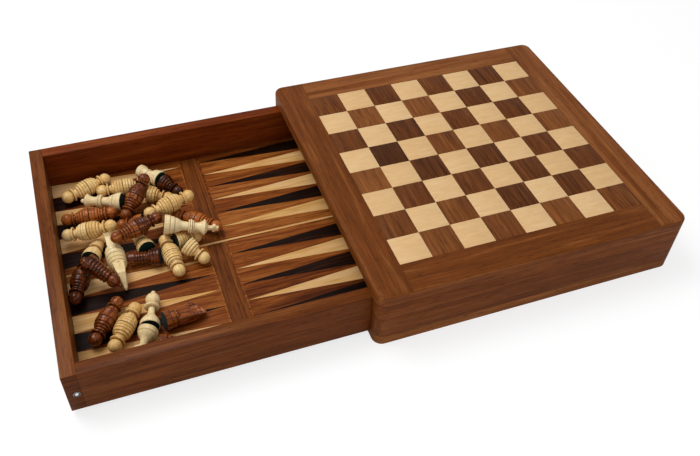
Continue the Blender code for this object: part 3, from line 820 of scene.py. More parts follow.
@dataclass
class TopFrame:
    """Four rails round the board. The outer top edge is rounded over all the way round."""

    finishes: Finishes
    corner_radius: float = 7.6 * MM
    corner_steps: int = 12
    roundover: float = 2.6 * MM
    roundover_steps: int = 6
    eased: float = 0.08 * MM
    reach: float = 0.26 * MM
    offset: Vector = CASE_LOG
    end_tones: tuple[float, float] = (-0.04, 0.1)

    def build(self) -> None:
        """Model and dress the rails, the two longer ones with their ends wrapped."""
        for node, axis, tone in (
            ("left_rail", Axis.Y, 0.0),
            ("right_rail", Axis.Y, 0.08),
            ("back_rail", Axis.X, 0.1),
            ("near_rail", Axis.X, -0.01),
        ):
            self.rail(node, axis, tone)

    def rail(self, node: str, axis: Axis, tone: float) -> None:
        """Make one rail: upright corners first, then the roundover, then the eased edges.

        Args:
            node: CAD node that it replaces.
            axis: direction of its grain.
            tone: its shade.
        """
        low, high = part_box(node)
        if axis is Axis.X:
            low.x -= self.reach
            high.x += self.reach
        piece = add_block(f"{node}_wood", low, high)
        outer = max(abs(low.x), abs(high.x), abs(low.y), abs(high.y))
        side_rail = axis is Axis.Y
        across = 0 if side_rail else 1
        inner = min(abs(low[across]), abs(high[across]))

        def is_corner(edge: bmesh.types.BMEdge) -> bool:
            """Tell whether an edge is an upright outer corner of the case."""
            foot = edge.verts[0].co
            return is_upright(edge, high.z - low.z) and min(abs(foot.x), abs(foot.y)) > outer - NEAR

        def is_top(edge: bmesh.types.BMEdge) -> bool:
            """Tell whether an edge runs along the top at the outside of the case.

            Args:
                edge: one edge of the rail.

            Returns:
                Whether it is to be rounded over.
            """
            ends = [end.co for end in edge.verts]
            if any(end.z < high.z - NEAR for end in ends):
                return False
            if all(abs(end[across]) < inner + NEAR for end in ends):
                return False
            return side_rail or all(max(abs(end.x), abs(end.y)) > outer - NEAR for end in ends)

        if side_rail:
            bevel_edges(piece, self.corner_radius, self.corner_steps, is_corner)
        bevel_edges(piece, self.roundover, self.roundover_steps, is_top)
        ease_edges(piece, self.eased, 1)
        smooth(piece)
        wrap = Axis.X if side_rail else None
        mark_wood(piece, axis, self.offset, tone, wrap, self.end_tones)
        finish_piece(piece, self.finishes.frame_wood, Body.CASE, "sheesham", node)


@dataclass
class ChessBoard:
    """Sixty-four veneered squares, flush with the frame, each cut from its own place."""

    finishes: Finishes
    squares: int = 8
    eased: float = 0.12 * MM
    light_spread: float = 0.1
    dark_spread: float = 0.15
    darkest: tuple[int, int] = (1, 4)
    darkest_tone: float = -0.3
    log: Log = field(default_factory=lambda: Log(29))

    def build(self) -> None:
        """Model one tile, lay a copy in each place and join them by wood."""
        plate_low, plate_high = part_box("maple_squares")
        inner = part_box("right_rail")[0].x
        side = 2 * inner / self.squares
        half = side / 2 - JOINT
        low = Vector((-half, -half, plate_low.z))
        tile = add_block("board_tile", low, Vector((half, half, plate_high.z)))
        ease_edges(tile, self.eased)
        smooth(tile)
        light = []
        dark = []
        for column in range(self.squares):
            for row in range(self.squares):
                place = Vector(((column + 0.5) * side - inner, (row + 0.5) * side - inner, 0))
                is_dark = (column + row) % 2 == 1
                spread = self.dark_spread if is_dark else self.light_spread
                tone = self.log.tone(spread)
                if (column, row) == self.darkest:
                    tone = self.darkest_tone
                square = copy_of(tile, f"tile_{column}_{row}")
                square.data.transform(Matrix.Translation(place))
                mark_wood(square, Axis.Y if is_dark else Axis.X, self.log.offset(), tone)
                (dark if is_dark else light).append(square)
        bpy.data.objects.remove(tile)
        light_tiles = join(light, "light_board_squares")
        finish_piece(light_tiles, self.finishes.maple_squares, Body.CASE, "maple", "maple_squares")
        dark_tiles = join(dark, "dark_board_squares")
        wood = self.finishes.dark_squares
        finish_piece(dark_tiles, wood, Body.CASE, "dark_sheesham", "sheesham_squares")


# ---------------------------------------------------------------- drawer


@dataclass
class DrawerBox:
    """Walls and floor panel of the drawer, their edges eased by hand."""

    finishes: Finishes
    eased: float = 0.2 * MM
    floor_eased: float = 0.1 * MM
    reach: float = 0.27 * MM
    offset: Vector = DRAWER_LOG
    # Painted shade: the darker near end of the left wall (first tone) stands in for the light falling
    # off towards the drawer's left end
    end_tones: tuple[float, float] = (-0.12, -0.05)
    hole_steps: int = 32
    hole_fit: float = 0.12 * MM

    def build(self) -> None:
        """Model and dress the four walls and the floor panel."""
        for node, axis, wood, tone in (
            ("drawer_left_wall", Axis.Y, self.finishes.drawer_wood, 0.08),
            ("drawer_right_wall", Axis.Y, self.finishes.drawer_wood, 0.0),
            # The back wall's darker amber finish is painted shade and painted bounced red light
            ("drawer_back_wall", Axis.X, self.finishes.shaded_amber_wood, 0.0),
            ("drawer_near_wall", Axis.X, self.finishes.drawer_wood, -0.01),
        ):
            low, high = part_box(node)
            if axis is Axis.X:
                low.x -= self.reach
                high.x += self.reach
            piece = add_block(f"{node}_wood", low, high)
            ease_edges(piece, self.eased)
            if node == "drawer_left_wall":
                self.cut_catch_hole(piece)
            smooth(piece)
            mark_wood(piece, axis, self.offset, tone, Axis.X if axis is Axis.Y else None, self.end_tones)
            finish_piece(piece, wood, Body.DRAWER, "sheesham", node)
        low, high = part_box("drawer_floor")
        panel = add_block("drawer_floor_panel", low, high)
        ease_edges(panel, self.floor_eased)
        mark_wood(panel, Axis.X, self.offset, 0.0)
        finish_piece(panel, self.finishes.drawer_wood, Body.DRAWER, "sheesham", "drawer_floor")

    def cut_catch_hole(self, piece: bpy.types.Object) -> None:
        """Drill the hole that the catch's cup sits in.

        Args:
            piece: the wall that holds the catch.
        """
        low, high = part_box("catch_cup")
        middle = (low + high) / 2
        flange = (high.z - low.z) / 2 + self.hole_fit
        deselect()
        bpy.ops.mesh.primitive_cylinder_add(
            vertices=self.hole_steps,
            radius=flange,
            depth=2 * (high.y - low.y),
            location=(middle.x, low.y, middle.z),
            rotation=(math.pi / 2, 0, 0),
        )
        drill = bpy.context.active_object
        shape_with(piece, "BOOLEAN", object=drill, operation="DIFFERENCE")
        bpy.data.objects.remove(drill)


@dataclass
class GameField:
    """Inlaid floor of the drawer: points, the ground between them, cross strips and centre line."""

    finishes: Finishes
    points_per_half: int = 6
    centre_band: float = 7.6 * MM
    tip_rim: float = 1.4 * MM
    rim_taper: float = 0.001 * MM
    tip_width: float = 0.3 * MM
    seam_from_left: float = 10.8 * MM
    seam_chamfer: float = 0.35 * MM
    ground_spread: float = 0.14
    point_spread: float = 0.1
    log: Log = field(default_factory=lambda: Log(61))

    def measure(self) -> None:
        """Read the field's edges from the solids, for the methods below."""
        self.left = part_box("drawer_left_wall")[1].x + JOINT
        self.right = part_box("drawer_right_wall")[0].x - JOINT
        self.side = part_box("drawer_back_wall")[0].y - JOINT
        strip_low, strip_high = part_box("back_cross_strip")
        self.strip_left = strip_low.x
        self.bottom = strip_low.z
        self.top = strip_high.z
        self.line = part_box("centre_line")[1].y
        self.depth = self.strip_left - self.left
        self.pitch = (self.side - self.centre_band) / self.points_per_half

    def wedge(
        self,
        name: str,
        end: int,
        half: int,
        near_span: tuple[float, float],
        far_span: tuple[float, float],
        near: float,
        far: float,
        tone: float,
    ) -> bpy.types.Object:
        """Make one flat tapered strip of a quarter of the field.

        Args:
            name: name of the strip.
            end: -1 for the left end of the drawer, 1 for the right.
            half: 1 for the back half, -1 for the near half.
            near_span: its edges at the end wall, from the side wall.
            far_span: its edges at the other end.
            near: where it starts, from the end wall.
            far: where it stops.
            tone: its tone.

        Returns:
            The strip, marked with its grain.
        """
        wall = self.right if end > 0 else self.left

        def place(inward: float, across: float) -> tuple[float, float]:
            """Turn places from the walls into x and y."""
            return wall - end * inward, half * (self.side - across)

        narrow, wide = sorted((near_span, far_span), key=lambda edges: edges[1] - edges[0])
        narrow_x = place(far if narrow is far_span else near, 0)[0]
        ends_x = sorted((place(near, 0)[0], place(far, 0)[0]))
        wide_y = sorted(place(0, across)[1] for across in wide)
        narrow_y = sorted(place(0, across)[1] for across in narrow)
        low = Vector((ends_x[0], wide_y[0] + JOINT, self.bottom))
        strip = add_block(name, low, Vector((ends_x[1], wide_y[1] - JOINT, self.top)))
        wide_width = wide_y[1] - wide_y[0] - 2 * JOINT
        narrow_width = max(narrow_y[1] - narrow_y[0] - 2 * JOINT, self.tip_width)
        wide_middle = (wide_y[0] + wide_y[1]) / 2
        narrow_middle = (narrow_y[0] + narrow_y[1]) / 2
        with editing(strip, "VERT"):
            pick(strip, "VERT", lambda corner: abs(corner.co.x - narrow_x) < NEAR)
            ratio = narrow_width / wide_width
            bpy.ops.transform.resize(value=(1, ratio, 1), center_override=(narrow_x, wide_middle, 0))
            bpy.ops.transform.translate(value=(0, narrow_middle - wide_middle, 0))
        mark_wood(strip, Axis.X, self.log.offset(), tone)
        return strip

    def build(self) -> None:
        """Model and dress the whole field."""
        self.measure()
        for end, end_name in ((-1, "left"), (1, "right")):
            for half, half_name in ((1, "back"), (-1, "near")):
                self.ground(end, half, f"{end_name}_{half_name}_ground")
            self.points(end, end_name)
        self.plates()

    def ground(self, end: int, half: int, node: str) -> None:
        """Lay the strips of ground between the points of one quarter.

        Args:
            end: -1 for the left end of the drawer, 1 for the right.
            half: 1 for the back half, -1 for the near half.
            node: CAD node that they replace.
        """
        tip = self.depth - self.tip_rim
        edge = self.side - self.line
        strips = []
        for index in range(self.points_per_half + 1):
            base = index * self.pitch
            low = max(base - self.pitch / 2, 0)
            high = base + self.pitch / 2
            near_span = (base, base)
            if index == self.points_per_half:
                near_span = (base, edge)
                high = edge
            tone = self.log.tone(self.ground_spread)
            name = f"{node}_{index}"
            strips.append(self.wedge(name, end, half, near_span, (low, high), 0, tip, tone))
        tone = self.log.tone(self.ground_spread)
        far_span = (self.rim_taper, edge)
        rim = self.wedge(f"{node}_rim", end, half, (0, edge), far_span, tip + JOINT, self.depth, tone)
        strips.append(rim)
        piece = join(strips, f"{node}_veneer")
        finish_piece(piece, self.finishes.field_wood, Body.DRAWER, "sheesham", node)

    def points(self, end: int, end_name: str) -> None:
        """Lay the twelve points at one end, light and dark by turns.

        Args:
            end: -1 for the left end of the drawer, 1 for the right.
            end_name: its word in the names of the nodes.
        """
        tip = self.depth - self.tip_rim
        for shade, first, material, slot in (
            ("light", 1 if end > 0 else 0, self.finishes.maple_points, "maple"),
            ("dark", 0 if end > 0 else 1, self.finishes.ebony, "dark_sheesham"),
        ):
            wedges = []
            for half, start in ((1, first), (-1, 1 - first)):
                for index in range(start, self.points_per_half, 2):
                    base = index * self.pitch
                    middle = base + self.pitch / 2
                    foot = (base, base + self.pitch)
                    tone = self.log.tone(self.point_spread)
                    name = f"{end_name}_{shade}_{half}_{index}"
                    wedges.append(self.wedge(name, end, half, foot, (middle, middle), 0, tip, tone))
            piece = join(wedges, f"{end_name}_{shade}_inlay")
            finish_piece(piece, material, Body.DRAWER, slot, f"{end_name}_{shade}_points")

    def plates(self) -> None:
        """Lay the centre line and the cross strips, each of two staves with a seam between."""
        low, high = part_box("centre_line")
        line = add_block("centre_line_inlay", low, high)
        ease_edges(line, self.seam_chamfer / 4, 1)
        mark_wood(line, Axis.X, self.log.offset(), 0.0)
        finish_piece(line, self.finishes.maple_points, Body.DRAWER, "maple", "centre_line")
        seam = self.strip_left + self.seam_from_left
        for node in ("back_cross_strip", "near_cross_strip"):
            low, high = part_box(node)
            staves = []
            for name, low_x, high_x in (("wide", low.x, seam - JOINT), ("slim", seam + JOINT, high.x)):
                corner = Vector((low_x, low.y, low.z))
                stave = add_block(f"{node}_{name}", corner, Vector((high_x, high.y, high.z)))
                ease_edges(stave, self.seam_chamfer, 1)
                mark_wood(stave, Axis.Y, self.log.offset(), self.log.tone(self.point_spread))
                staves.append(stave)
            piece = join(staves, f"{node}_staves")
            finish_piece(piece, self.finishes.strip_wood, Body.DRAWER, "dark_sheesham", node)


# ---------------------------------------------------------------- turned pieces


class Outline:
    """Outline of a turned piece as (height, radius) rings, cut from the base up, in millimetres."""

    RIM_ANGLES = (-70, -35, 0, 35, 70)
    BEAD_FULLNESS = 0.45

    def __init__(self, *rings: tuple[float, float]) -> None:
        """Start with some rings, or with none."""
        self.rings = list(rings)
        self.burns: list[float] = []

    @classmethod
    def foot(cls, start: float, radius: float) -> "Outline":
        """Start at the foot with a small round edge."""
        return cls((start, radius - 0.4), (start + 0.1, radius - 0.15), (start + 0.3, radius))

    def to(self, *rings: tuple[float, float]) -> "Outline":
        """Run straight through rings of a given height and radius."""
        self.rings.extend(rings)
        return self

    def curve(self, height: float, radius: float, bow: float = 0.0, steps: int = 5) -> "Outline":
        """Sweep to a ring, bowed on the way.

        Args:
            height: height of the ring.
            radius: its radius.
            bow: how far the sweep swells outward (above 0) or inward.
            steps: rings of the sweep.

        Returns:
            This outline.
        """
        low, low_radius = self.rings[-1]
        for step in range(1, steps + 1):
            share = step / steps
            swell = bow * math.sin(math.pi * share)
            reach = low_radius + (radius - low_radius) * share + swell
            self.rings.append((low + (height - low) * share, reach))
        return self

    def beads(self, depth: float, *tops: tuple[float, float], steps: int = 6) -> "Outline":
        """Turn round beads with scorched grooves between them.

        Args:
            depth: how far each groove lies under the crowns beside it.
            tops: height where each bead ends, and the radius of its crown.
            steps: rings of each bead.

        Returns:
            This outline.
        """
        for height, radius in tops:
            low = self.rings[-1][0]
            for step in range(1, steps + 1):
                share = step / steps
                crown = math.sin(math.pi * share) ** self.BEAD_FULLNESS if step < steps else 0.0
                self.rings.append((low + (height - low) * share, radius - depth * (1 - crown)))
            self.burns.append(height)
        return self

    def disc(self, height: float, radius: float, thickness: float) -> "Outline":
        """Turn a thin collar with a round rim.

        Args:
            height: height of its middle.
            radius: radius of its rim.
            thickness: how thick it is.

        Returns:
            This outline.
        """
        neck = self.rings[-1][1]
        half = thickness / 2
        self.rings.append((height - half, neck))
        for angle in self.RIM_ANGLES:
            turn = math.radians(angle)
            reach = radius - half * (1 - math.cos(turn))
            self.rings.append((height + half * math.sin(turn), reach))
        self.rings.append((height + half, neck))
        self.burns.extend((height - half, height + half))
        return self

    def ball(
        self, middle: float, radius: float, start: float = -50, stop: float = 86, steps: int = 9
    ) -> "Outline":
        """Turn a ball.

        Args:
            middle: height of its middle.
            radius: its radius.
            start: angle where it starts, in degrees up from its middle.
            stop: angle where it stops.
            steps: spaces between its rings.

        Returns:
            This outline.
        """
        for step in range(steps + 1):
            turn = math.radians(start + (stop - start) * step / steps)
            self.rings.append((middle + radius * math.sin(turn), radius * math.cos(turn)))
        return self


class Kind(Enum):
    """The six kinds of chess piece."""

    PAWN = "pawn"
    ROOK = "rook"
    KNIGHT = "knight"
    BISHOP = "bishop"
    QUEEN = "queen"
    KING = "king"


@dataclass
class Lathe:
    """Turns each kind of chess piece once: grooved in boxwood, ribbed in rosewood."""

    sides: int = 32
    felt: float = 0.22
    felt_radius: float = 6.75
    groove_width: float = 0.02 * MM
    crease_angle: float = math.radians(34)
    # Each step of a horse's head: rise and forward shift in millimetres, growth in length and breadth
    head_steps: tuple[tuple[float, float, float, float], ...] = (
        (3.0, 0.0, 1.07, 0.93),
        (4.0, 0.1, 1.04, 0.96),
        (1.2, 0.9, 1.14, 0.95),
        (3.0, -0.1, 0.96, 0.84),
        (2.6, -1.35, 0.76, 0.78),
        (3.4, -2.2, 0.48, 0.56),
        (1.6, -0.7, 0.5, 0.6),
    )
    carving: float = 0.55 * MM
    carving_depth: float = 0.5 * MM
    models: dict[tuple[Kind, bool], bpy.types.Object] = field(default_factory=dict)
    felt_model: bpy.types.Object | None = None

    def barrel(self, radius: float, height: float, shoulder: float, ribbed: bool) -> Outline:
        """Turn the lower body: a few shallow beads in boxwood, more and deeper ones in rosewood.

        Args:
            radius: radius of the foot.
            height: where the body ends.
            shoulder: radius of its last bead.
            ribbed: whether the beads are deep.

        Returns:
            The outline up to the step in to the neck.
        """
        outline = Outline.foot(self.felt, radius)
        if ribbed:
            outline.to((0.26 * height, radius))
            slope = ((0.53, 1.0), (0.79, 0.68), (1.0, 0.1))
            beads = [(height * share, shoulder + (radius - shoulder) * rest) for share, rest in slope]
            return outline.beads(0.9, *beads).to((height + 0.1, shoulder - 1.0))
        outline.to((0.2 * height, radius + 0.05))
        slope = ((0.26, 1.0), (0.52, 1.0), (0.8, 0.72), (1.0, 0.12))
        beads = [(height * share, shoulder + (radius - shoulder) * rest) for share, rest in slope]
        return outline.beads(0.42, *beads).to((height + 0.25, shoulder - 0.9))

    def plain_body(self, radius: float, height: float, shoulder: float) -> Outline:
        """Turn the lower body of a tall boxwood piece: a foot bead and a slope with one groove.

        Args:
            radius: radius of the foot.
            height: where the body ends.
            shoulder: radius where the neck starts.

        Returns:
            The outline up to the neck.
        """
        outline = Outline.foot(self.felt, radius).to((1.4, radius)).beads(0.4, (0.38 * height, radius))
        outline.to((0.4 * height, radius - 0.7)).curve(0.66 * height, radius - 1.4, 0.2)
        outline.burns.append(outline.rings[-1][0])
        return outline.curve(height, shoulder, 0.25)

    def outline(self, kind: Kind, ribbed: bool) -> Outline:
        """Cut the outline of one kind of piece.

        Args:
            kind: which piece.
            ribbed: whether its body has deep round ribs.

        Returns:
            The outline, in millimetres from the base.
        """
        if kind is Kind.PAWN:
            outline = self.barrel(7.0, 8.7, 5.2, ribbed)
            if ribbed:
                outline.beads(0.5, (10.6, 4.5)).to((10.9, 3.3))
            else:
                outline.to((9.3, 3.7)).curve(11.2, 3.1)
            return outline.disc(12.3, 5.5, 1.3).to((13.2, 3.1)).ball(16.8, 4.85, -46)
        if kind is Kind.ROOK:
            outline = self.barrel(7.2, 8.8, 5.5, ribbed).curve(10.2, 4.3, -0.2)
            if ribbed:
                outline.beads(0.5, (12.4, 4.8), (14.6, 4.8), (16.6, 4.9)).to((16.7, 4.6))
            else:
                outline.curve(13.0, 3.9).disc(14.0, 4.6, 1.0).to((15.0, 3.9))
            outline.curve(18.8, 5.3, -0.4, 4)
            outline.to((19.1, 5.6), (22.9, 5.6), (23.3, 5.3))
            return outline.to((23.4, 4.3), (22.4, 4.1), (22.3, 0.5))
        if kind is Kind.BISHOP and ribbed:
            outline = self.barrel(7.2, 10.0, 6.0, ribbed)
            outline.beads(0.8, (12.6, 6.0), (15.0, 5.7), (17.4, 5.4), (19.8, 5.2)).to((20.0, 4.4))
            return outline.ball(24.0, 5.1, -48, 70).curve(29.4, 1.4, -0.1, 3).ball(30.2, 1.5, -45, 84, 5)
        if kind is Kind.BISHOP:
            outline = Outline.foot(self.felt, 7.2).to((1.6, 7.2)).beads(0.4, (4.2, 7.1)).to((4.4, 6.5))
            outline.curve(7.0, 5.2, 0.15).curve(12.5, 2.5, -0.7, 7).curve(15.6, 2.4)
            outline.disc(17.6, 5.5, 2.2).to((19.1, 3.1)).ball(24.2, 5.2, -54, 62)
            return outline.to((29.0, 1.6)).ball(30.2, 1.9, -42, 84, 6)
        if kind is Kind.QUEEN:
            outline = self.barrel(7.3, 9.5, 6.0, ribbed) if ribbed else self.plain_body(7.3, 10.0, 4.4)
            outline.curve(11.6, 3.6, -0.1).curve(15.8, 3.4)
            outline.disc(17.2, 5.5, 1.9).to((18.3, 4.2)).disc(19.5, 5.0, 1.5).to((20.6, 3.8))
            outline.curve(23.6, 3.6, -0.1).curve(28.4, 5.8, -0.4).to((29.0, 5.7), (29.5, 4.9))
            return outline.curve(31.2, 1.6, 0.6).ball(32.3, 1.8, -45, 84, 6)
        if kind is Kind.KING:
            outline = self.barrel(7.6, 11.0, 5.6, ribbed) if ribbed else self.plain_body(7.6, 12.2, 4.4)
            outline.curve(14.0, 3.7, -0.1).curve(18.0, 3.3)
            outline.disc(19.0, 5.2, 1.2).disc(20.5, 5.8, 1.4).disc(22.0, 5.0, 1.1).to((22.8, 3.7))
            outline.curve(25.0, 3.3, -0.1).curve(30.4, 6.3, -0.6).to((30.9, 6.3), (31.6, 5.2))
            return outline.curve(33.4, 2.3, 0.4).to((33.9, 2.0), (34.6, 1.7))
        outline = Outline.foot(self.felt, 7.2).to((1.0, 7.2))
        return outline.beads(0.5, (4.4, 7.3), (7.8, 7.0), (9.6, 6.2)).curve(11.4, 4.4, 0.1)

    def turn(self, name: str, outline: Outline) -> bpy.types.Object:
        """Turn an outline into a closed solid, ring by ring from a circle.

        Args:
            name: name of the piece.
            outline: its rings, in millimetres.

        Returns:
            The solid, upright on the origin.
        """
        rings = [(height * MM, radius * MM) for height, radius in outline.rings]
        deselect()
        bpy.ops.mesh.primitive_circle_add(
            vertices=self.sides, radius=rings[0][1], fill_type="NGON", location=(0, 0, rings[0][0])
        )
        piece = bpy.context.active_object
        piece.name = name
        bpy.ops.object.transform_apply(location=True, rotation=True, scale=True)
        bpy.ops.object.mode_set(mode="EDIT")
        bpy.ops.mesh.select_mode(type="FACE")
        bpy.ops.mesh.select_all(action="SELECT")
        for (low, low_radius), (high, high_radius) in zip(rings, rings[1:]):
            bpy.ops.mesh.extrude_region_move(TRANSFORM_OT_translate={"value": (0, 0, high - low)})
            ratio = high_radius / low_radius
            bpy.ops.transform.resize(value=(ratio, ratio, 1), center_override=(0, 0, high))
        bpy.ops.mesh.select_all(action="SELECT")
        bpy.ops.mesh.normals_make_consistent(inside=False)
        bpy.ops.object.mode_set(mode="OBJECT")
        return piece

    def burn(self, piece: bpy.types.Object, burns: list[float]) -> None:
        """Mark the grooves of a turned piece as scorched.

        Args:
            piece: the upright piece.
            burns: heights of its grooves, in millimetres.
        """
        mesh = piece.data
        heights = points_of(mesh)[:, 2]
        away = np.abs(heights[:, None] - np.array(burns)[None, :] * MM).min(axis=1)
        marks = (away < self.groove_width).astype(np.float32)
        mesh.attributes.new(BURNT, "FLOAT", "POINT").data.foreach_set("value", marks)

    def horse_head(self) -> bpy.types.Object:
        """Carve a knight's head from a slab: neck, head, muzzle and ears.

        Returns:
            The head, upright over the origin and facing +X.
        """
        low = Vector((-5.4, -3.9, 8.8)) * MM
        head = add_block("horse_head", low, Vector((5.4, 3.9, 11.6)) * MM)
        with editing(head, "FACE"):
            pick(head, "FACE", lambda face: face.normal.z > FACING)
            for rise, shift, length, breadth in self.head_steps:
                step = (shift * MM, 0, rise * MM)
                bpy.ops.mesh.extrude_region_move(TRANSFORM_OT_translate={"value": step})
                shape = bmesh.from_edit_mesh(head.data)
                middle = next(face for face in shape.faces if face.select).calc_center_median()
                bpy.ops.transform.resize(value=(length, breadth, 1), center_override=tuple(middle))
            bpy.ops.mesh.select_all(action="DESELECT")
            pick(
                head,
                "FACE",
                lambda face: abs(face.normal.y) > 0.6
                and 19.0 * MM < face.calc_center_median().z < 28.5 * MM,
            )
            bpy.ops.mesh.inset(thickness=self.carving, depth=-self.carving_depth, use_individual=True)
        ease_edges(head, 0.3 * MM, angle=math.radians(25))
        shape_with(head, "SUBSURF", levels=1, render_levels=1)
        return head

    def cross(self) -> bpy.types.Object:
        """Make the king's small block cross by extruding the arms of a cube.

        Returns:
            The cross, upright above the crown.
        """
        low = Vector((-1.4, -1.4, 34.0)) * MM
        cross = add_block("king_cross", low, Vector((1.4, 1.4, 36.8)) * MM)
        with editing(cross, "FACE"):
            pick(cross, "FACE", lambda face: face.normal.z > FACING)
            bpy.ops.mesh.extrude_region_move(TRANSFORM_OT_translate={"value": (0, 0, 2.2 * MM)})
            bpy.ops.mesh.extrude_region_move(TRANSFORM_OT_translate={"value": (0, 0, 2.4 * MM)})
            bpy.ops.transform.resize(value=(1.25, 1.0, 1.0), center_override=(0, 0, 41.4 * MM))
            for side in (-1, 1):
                bpy.ops.mesh.select_all(action="DESELECT")
                pick(
                    cross,
                    "FACE",
                    lambda face, side=side: face.normal.x * side > FACING
                    and 36.9 * MM < face.calc_center_median().z < 38.9 * MM,
                )
                step = (side * 1.7 * MM, 0, 0)
                bpy.ops.mesh.extrude_region_move(TRANSFORM_OT_translate={"value": step})
        ease_edges(cross, 0.3 * MM)
        return cross

    def model(self, kind: Kind, ribbed: bool) -> bpy.types.Object:
        """Return the piece of one kind, made the first time that it is asked for.

        Args:
            kind: which piece.
            ribbed: whether it has the deep ribs of the rosewood pieces.

        Returns:
            The upright piece, to be copied.
        """
        key = (kind, ribbed)
        if key not in self.models:
            outline = self.outline(kind, ribbed)
            piece = self.turn(f"{kind.value}_{'ribbed' if ribbed else 'grooved'}", outline)
            self.burn(piece, outline.burns)
            if kind in (Kind.KNIGHT, Kind.KING):
                top = self.horse_head() if kind is Kind.KNIGHT else self.cross()
                shape_with(piece, "BOOLEAN", object=top, operation="UNION")
                bpy.data.objects.remove(top)
            smooth(piece, self.crease_angle)
            self.models[key] = piece
        return self.models[key]

    def felt_disc(self) -> bpy.types.Object:
        """Return the felt under a base, made the first time that it is asked for.

        Returns:
            The disc, to be copied.
        """
        if self.felt_model is None:
            radius = self.felt_radius
            disc = Outline((0.0, radius - 0.1), (0.05, radius), (self.felt, radius))
            self.felt_model = self.turn("felt_disc", disc)
            smooth(self.felt_model)
        return self.felt_model

    def clear(self) -> None:
        """Remove the models once their copies are laid."""
        for piece in (*self.models.values(), self.felt_model):
            bpy.data.objects.remove(piece)
        self.models.clear()
        self.felt_model = None


@dataclass
class Seat:
    """Where a chess piece lies: the middle of its base and its axis towards the head."""

    base: Vector
    axis: Vector
    foot_reach: float = 5.3 * MM
    end_reach: float = 2.0 * MM

    @classmethod
    def read(cls, node: str, pair: bool) -> "Seat":
        """Find a seat from the rings of its solid near the base.

        Args:
            node: CAD node of the piece, or of two pieces base to base.
            pair: whether it holds two pieces.

        Returns:
            The seat of the first piece.
        """
        places = points_of(bpy.data.objects[node].data)
        points = np.unique(np.round(places.astype(float), 7), axis=0)
        middle = points.mean(axis=0)
        axis = np.linalg.eigh(np.cov((points - middle).T))[1][:, 2]
        along = (points - middle) @ axis
        if pair:
            foot = points[np.abs(along) < cls.foot_reach]
        else:
            spread = np.linalg.norm((points - middle) - along[:, None] * axis, axis=1)
            low_end = spread[along < along.min() + cls.end_reach].max()
            high_end = spread[along > along.max() - cls.end_reach].max()
            if high_end > low_end:
                axis = -axis
                along = -along
            foot = points[along < along.min() + cls.foot_reach]
        centre = foot.mean(axis=0)
        true_axis = np.linalg.eigh(np.cov((foot - centre).T))[1][:, 0]
        if true_axis @ axis < 0:
            true_axis = -true_axis
        start = 0.0 if pair else ((foot - centre) @ true_axis).min()
        return cls(Vector(centre + start * true_axis), Vector(true_axis))

    def matrix(self, facing_back: bool, roll: float = 0.0) -> Matrix:
        """Return the turn and shift that lay an upright piece here.

        Args:
            facing_back: whether this is the twin that points the other way.
            roll: turn of the piece about its own axis.

        Returns:
            The placing matrix.
        """
        turn = self.axis.to_track_quat("Z", "X").to_matrix().to_4x4()
        flip = Matrix.Rotation(math.pi, 4, "X") if facing_back else Matrix.Identity(4)
        return Matrix.Translation(self.base) @ turn @ flip @ Matrix.Rotation(roll, 4, "Z")


@dataclass
class ChessHeap:
    """The turned pieces as they lie in the drawer, singly or in pairs held by their magnets."""

    finishes: Finishes
    pale: tuple[str, ...] = (
        "boxwood_queen",
        "boxwood_king",
        "boxwood_rook",
        "boxwood_knight_pair",
        "boxwood_bishop_1",
        "boxwood_bishop_2",
    )
    darkest: tuple[str, ...] = ("rosewood_rook", "rosewood_pawn_1", "rosewood_pawn_pair_5")
    brightest: tuple[str, ...] = ("rosewood_pawn_pair_1", "rosewood_pawn_2", "rosewood_pawn_pair_2")
    rolls: dict[str, float] = field(default_factory=lambda: {"rosewood_knight": math.radians(-90)})
    tone_spread: float = 0.09
    bright_tone: float = 0.22
    lathe: Lathe = field(default_factory=Lathe)
    log: Log = field(default_factory=lambda: Log(83))

    def build(self, nodes: list[str]) -> None:
        """Lay every piece that the frame holds.

        Args:
            nodes: names of the chess pieces' CAD nodes.
        """
        for node in nodes:
            self.lay(node)
        self.lathe.clear()

    def lay(self, node: str) -> None:
        """Model, lay and dress one node's piece or pair, and its felt.

        Args:
            node: CAD node that it replaces.
        """
        rosewood = node.startswith("rosewood")
        pair = "pair" in node
        kind = Kind(node.split("_")[1])
        seat = Seat.read(node, pair)
        parts = []
        felts = []
        for back in (False, True) if pair else (False,):
            place = seat.matrix(back, self.rolls.get(node, 0.0))
            part = copy_of(self.lathe.model(kind, rosewood), f"{node}_{int(back)}")
            tone = self.log.tone(self.tone_spread)
            if node in self.brightest:
                tone += self.bright_tone
            elif node in self.darkest:
                tone -= self.bright_tone
            mark_wood(part, Axis.Z, self.log.offset(), tone)
            part.data.transform(place)
            parts.append(part)
            felt = copy_of(self.lathe.felt_disc(), f"{node}_felt_{int(back)}")
            felt.data.transform(place)
            felts.append(felt)
        material = self.finishes.boxwood
        if rosewood:
            material = self.finishes.rosewood
        elif node in self.pale:
            material = self.finishes.pale_boxwood
        slot = "rosewood" if rosewood else "boxwood"
        finish_piece(join(parts, f"{node}_turned"), material, Body.DRAWER, slot, node)
        finish_piece(join(felts, f"{node}_felt"), self.finishes.felt, Body.DRAWER, None)


# ---------------------------------------------------------------- catch


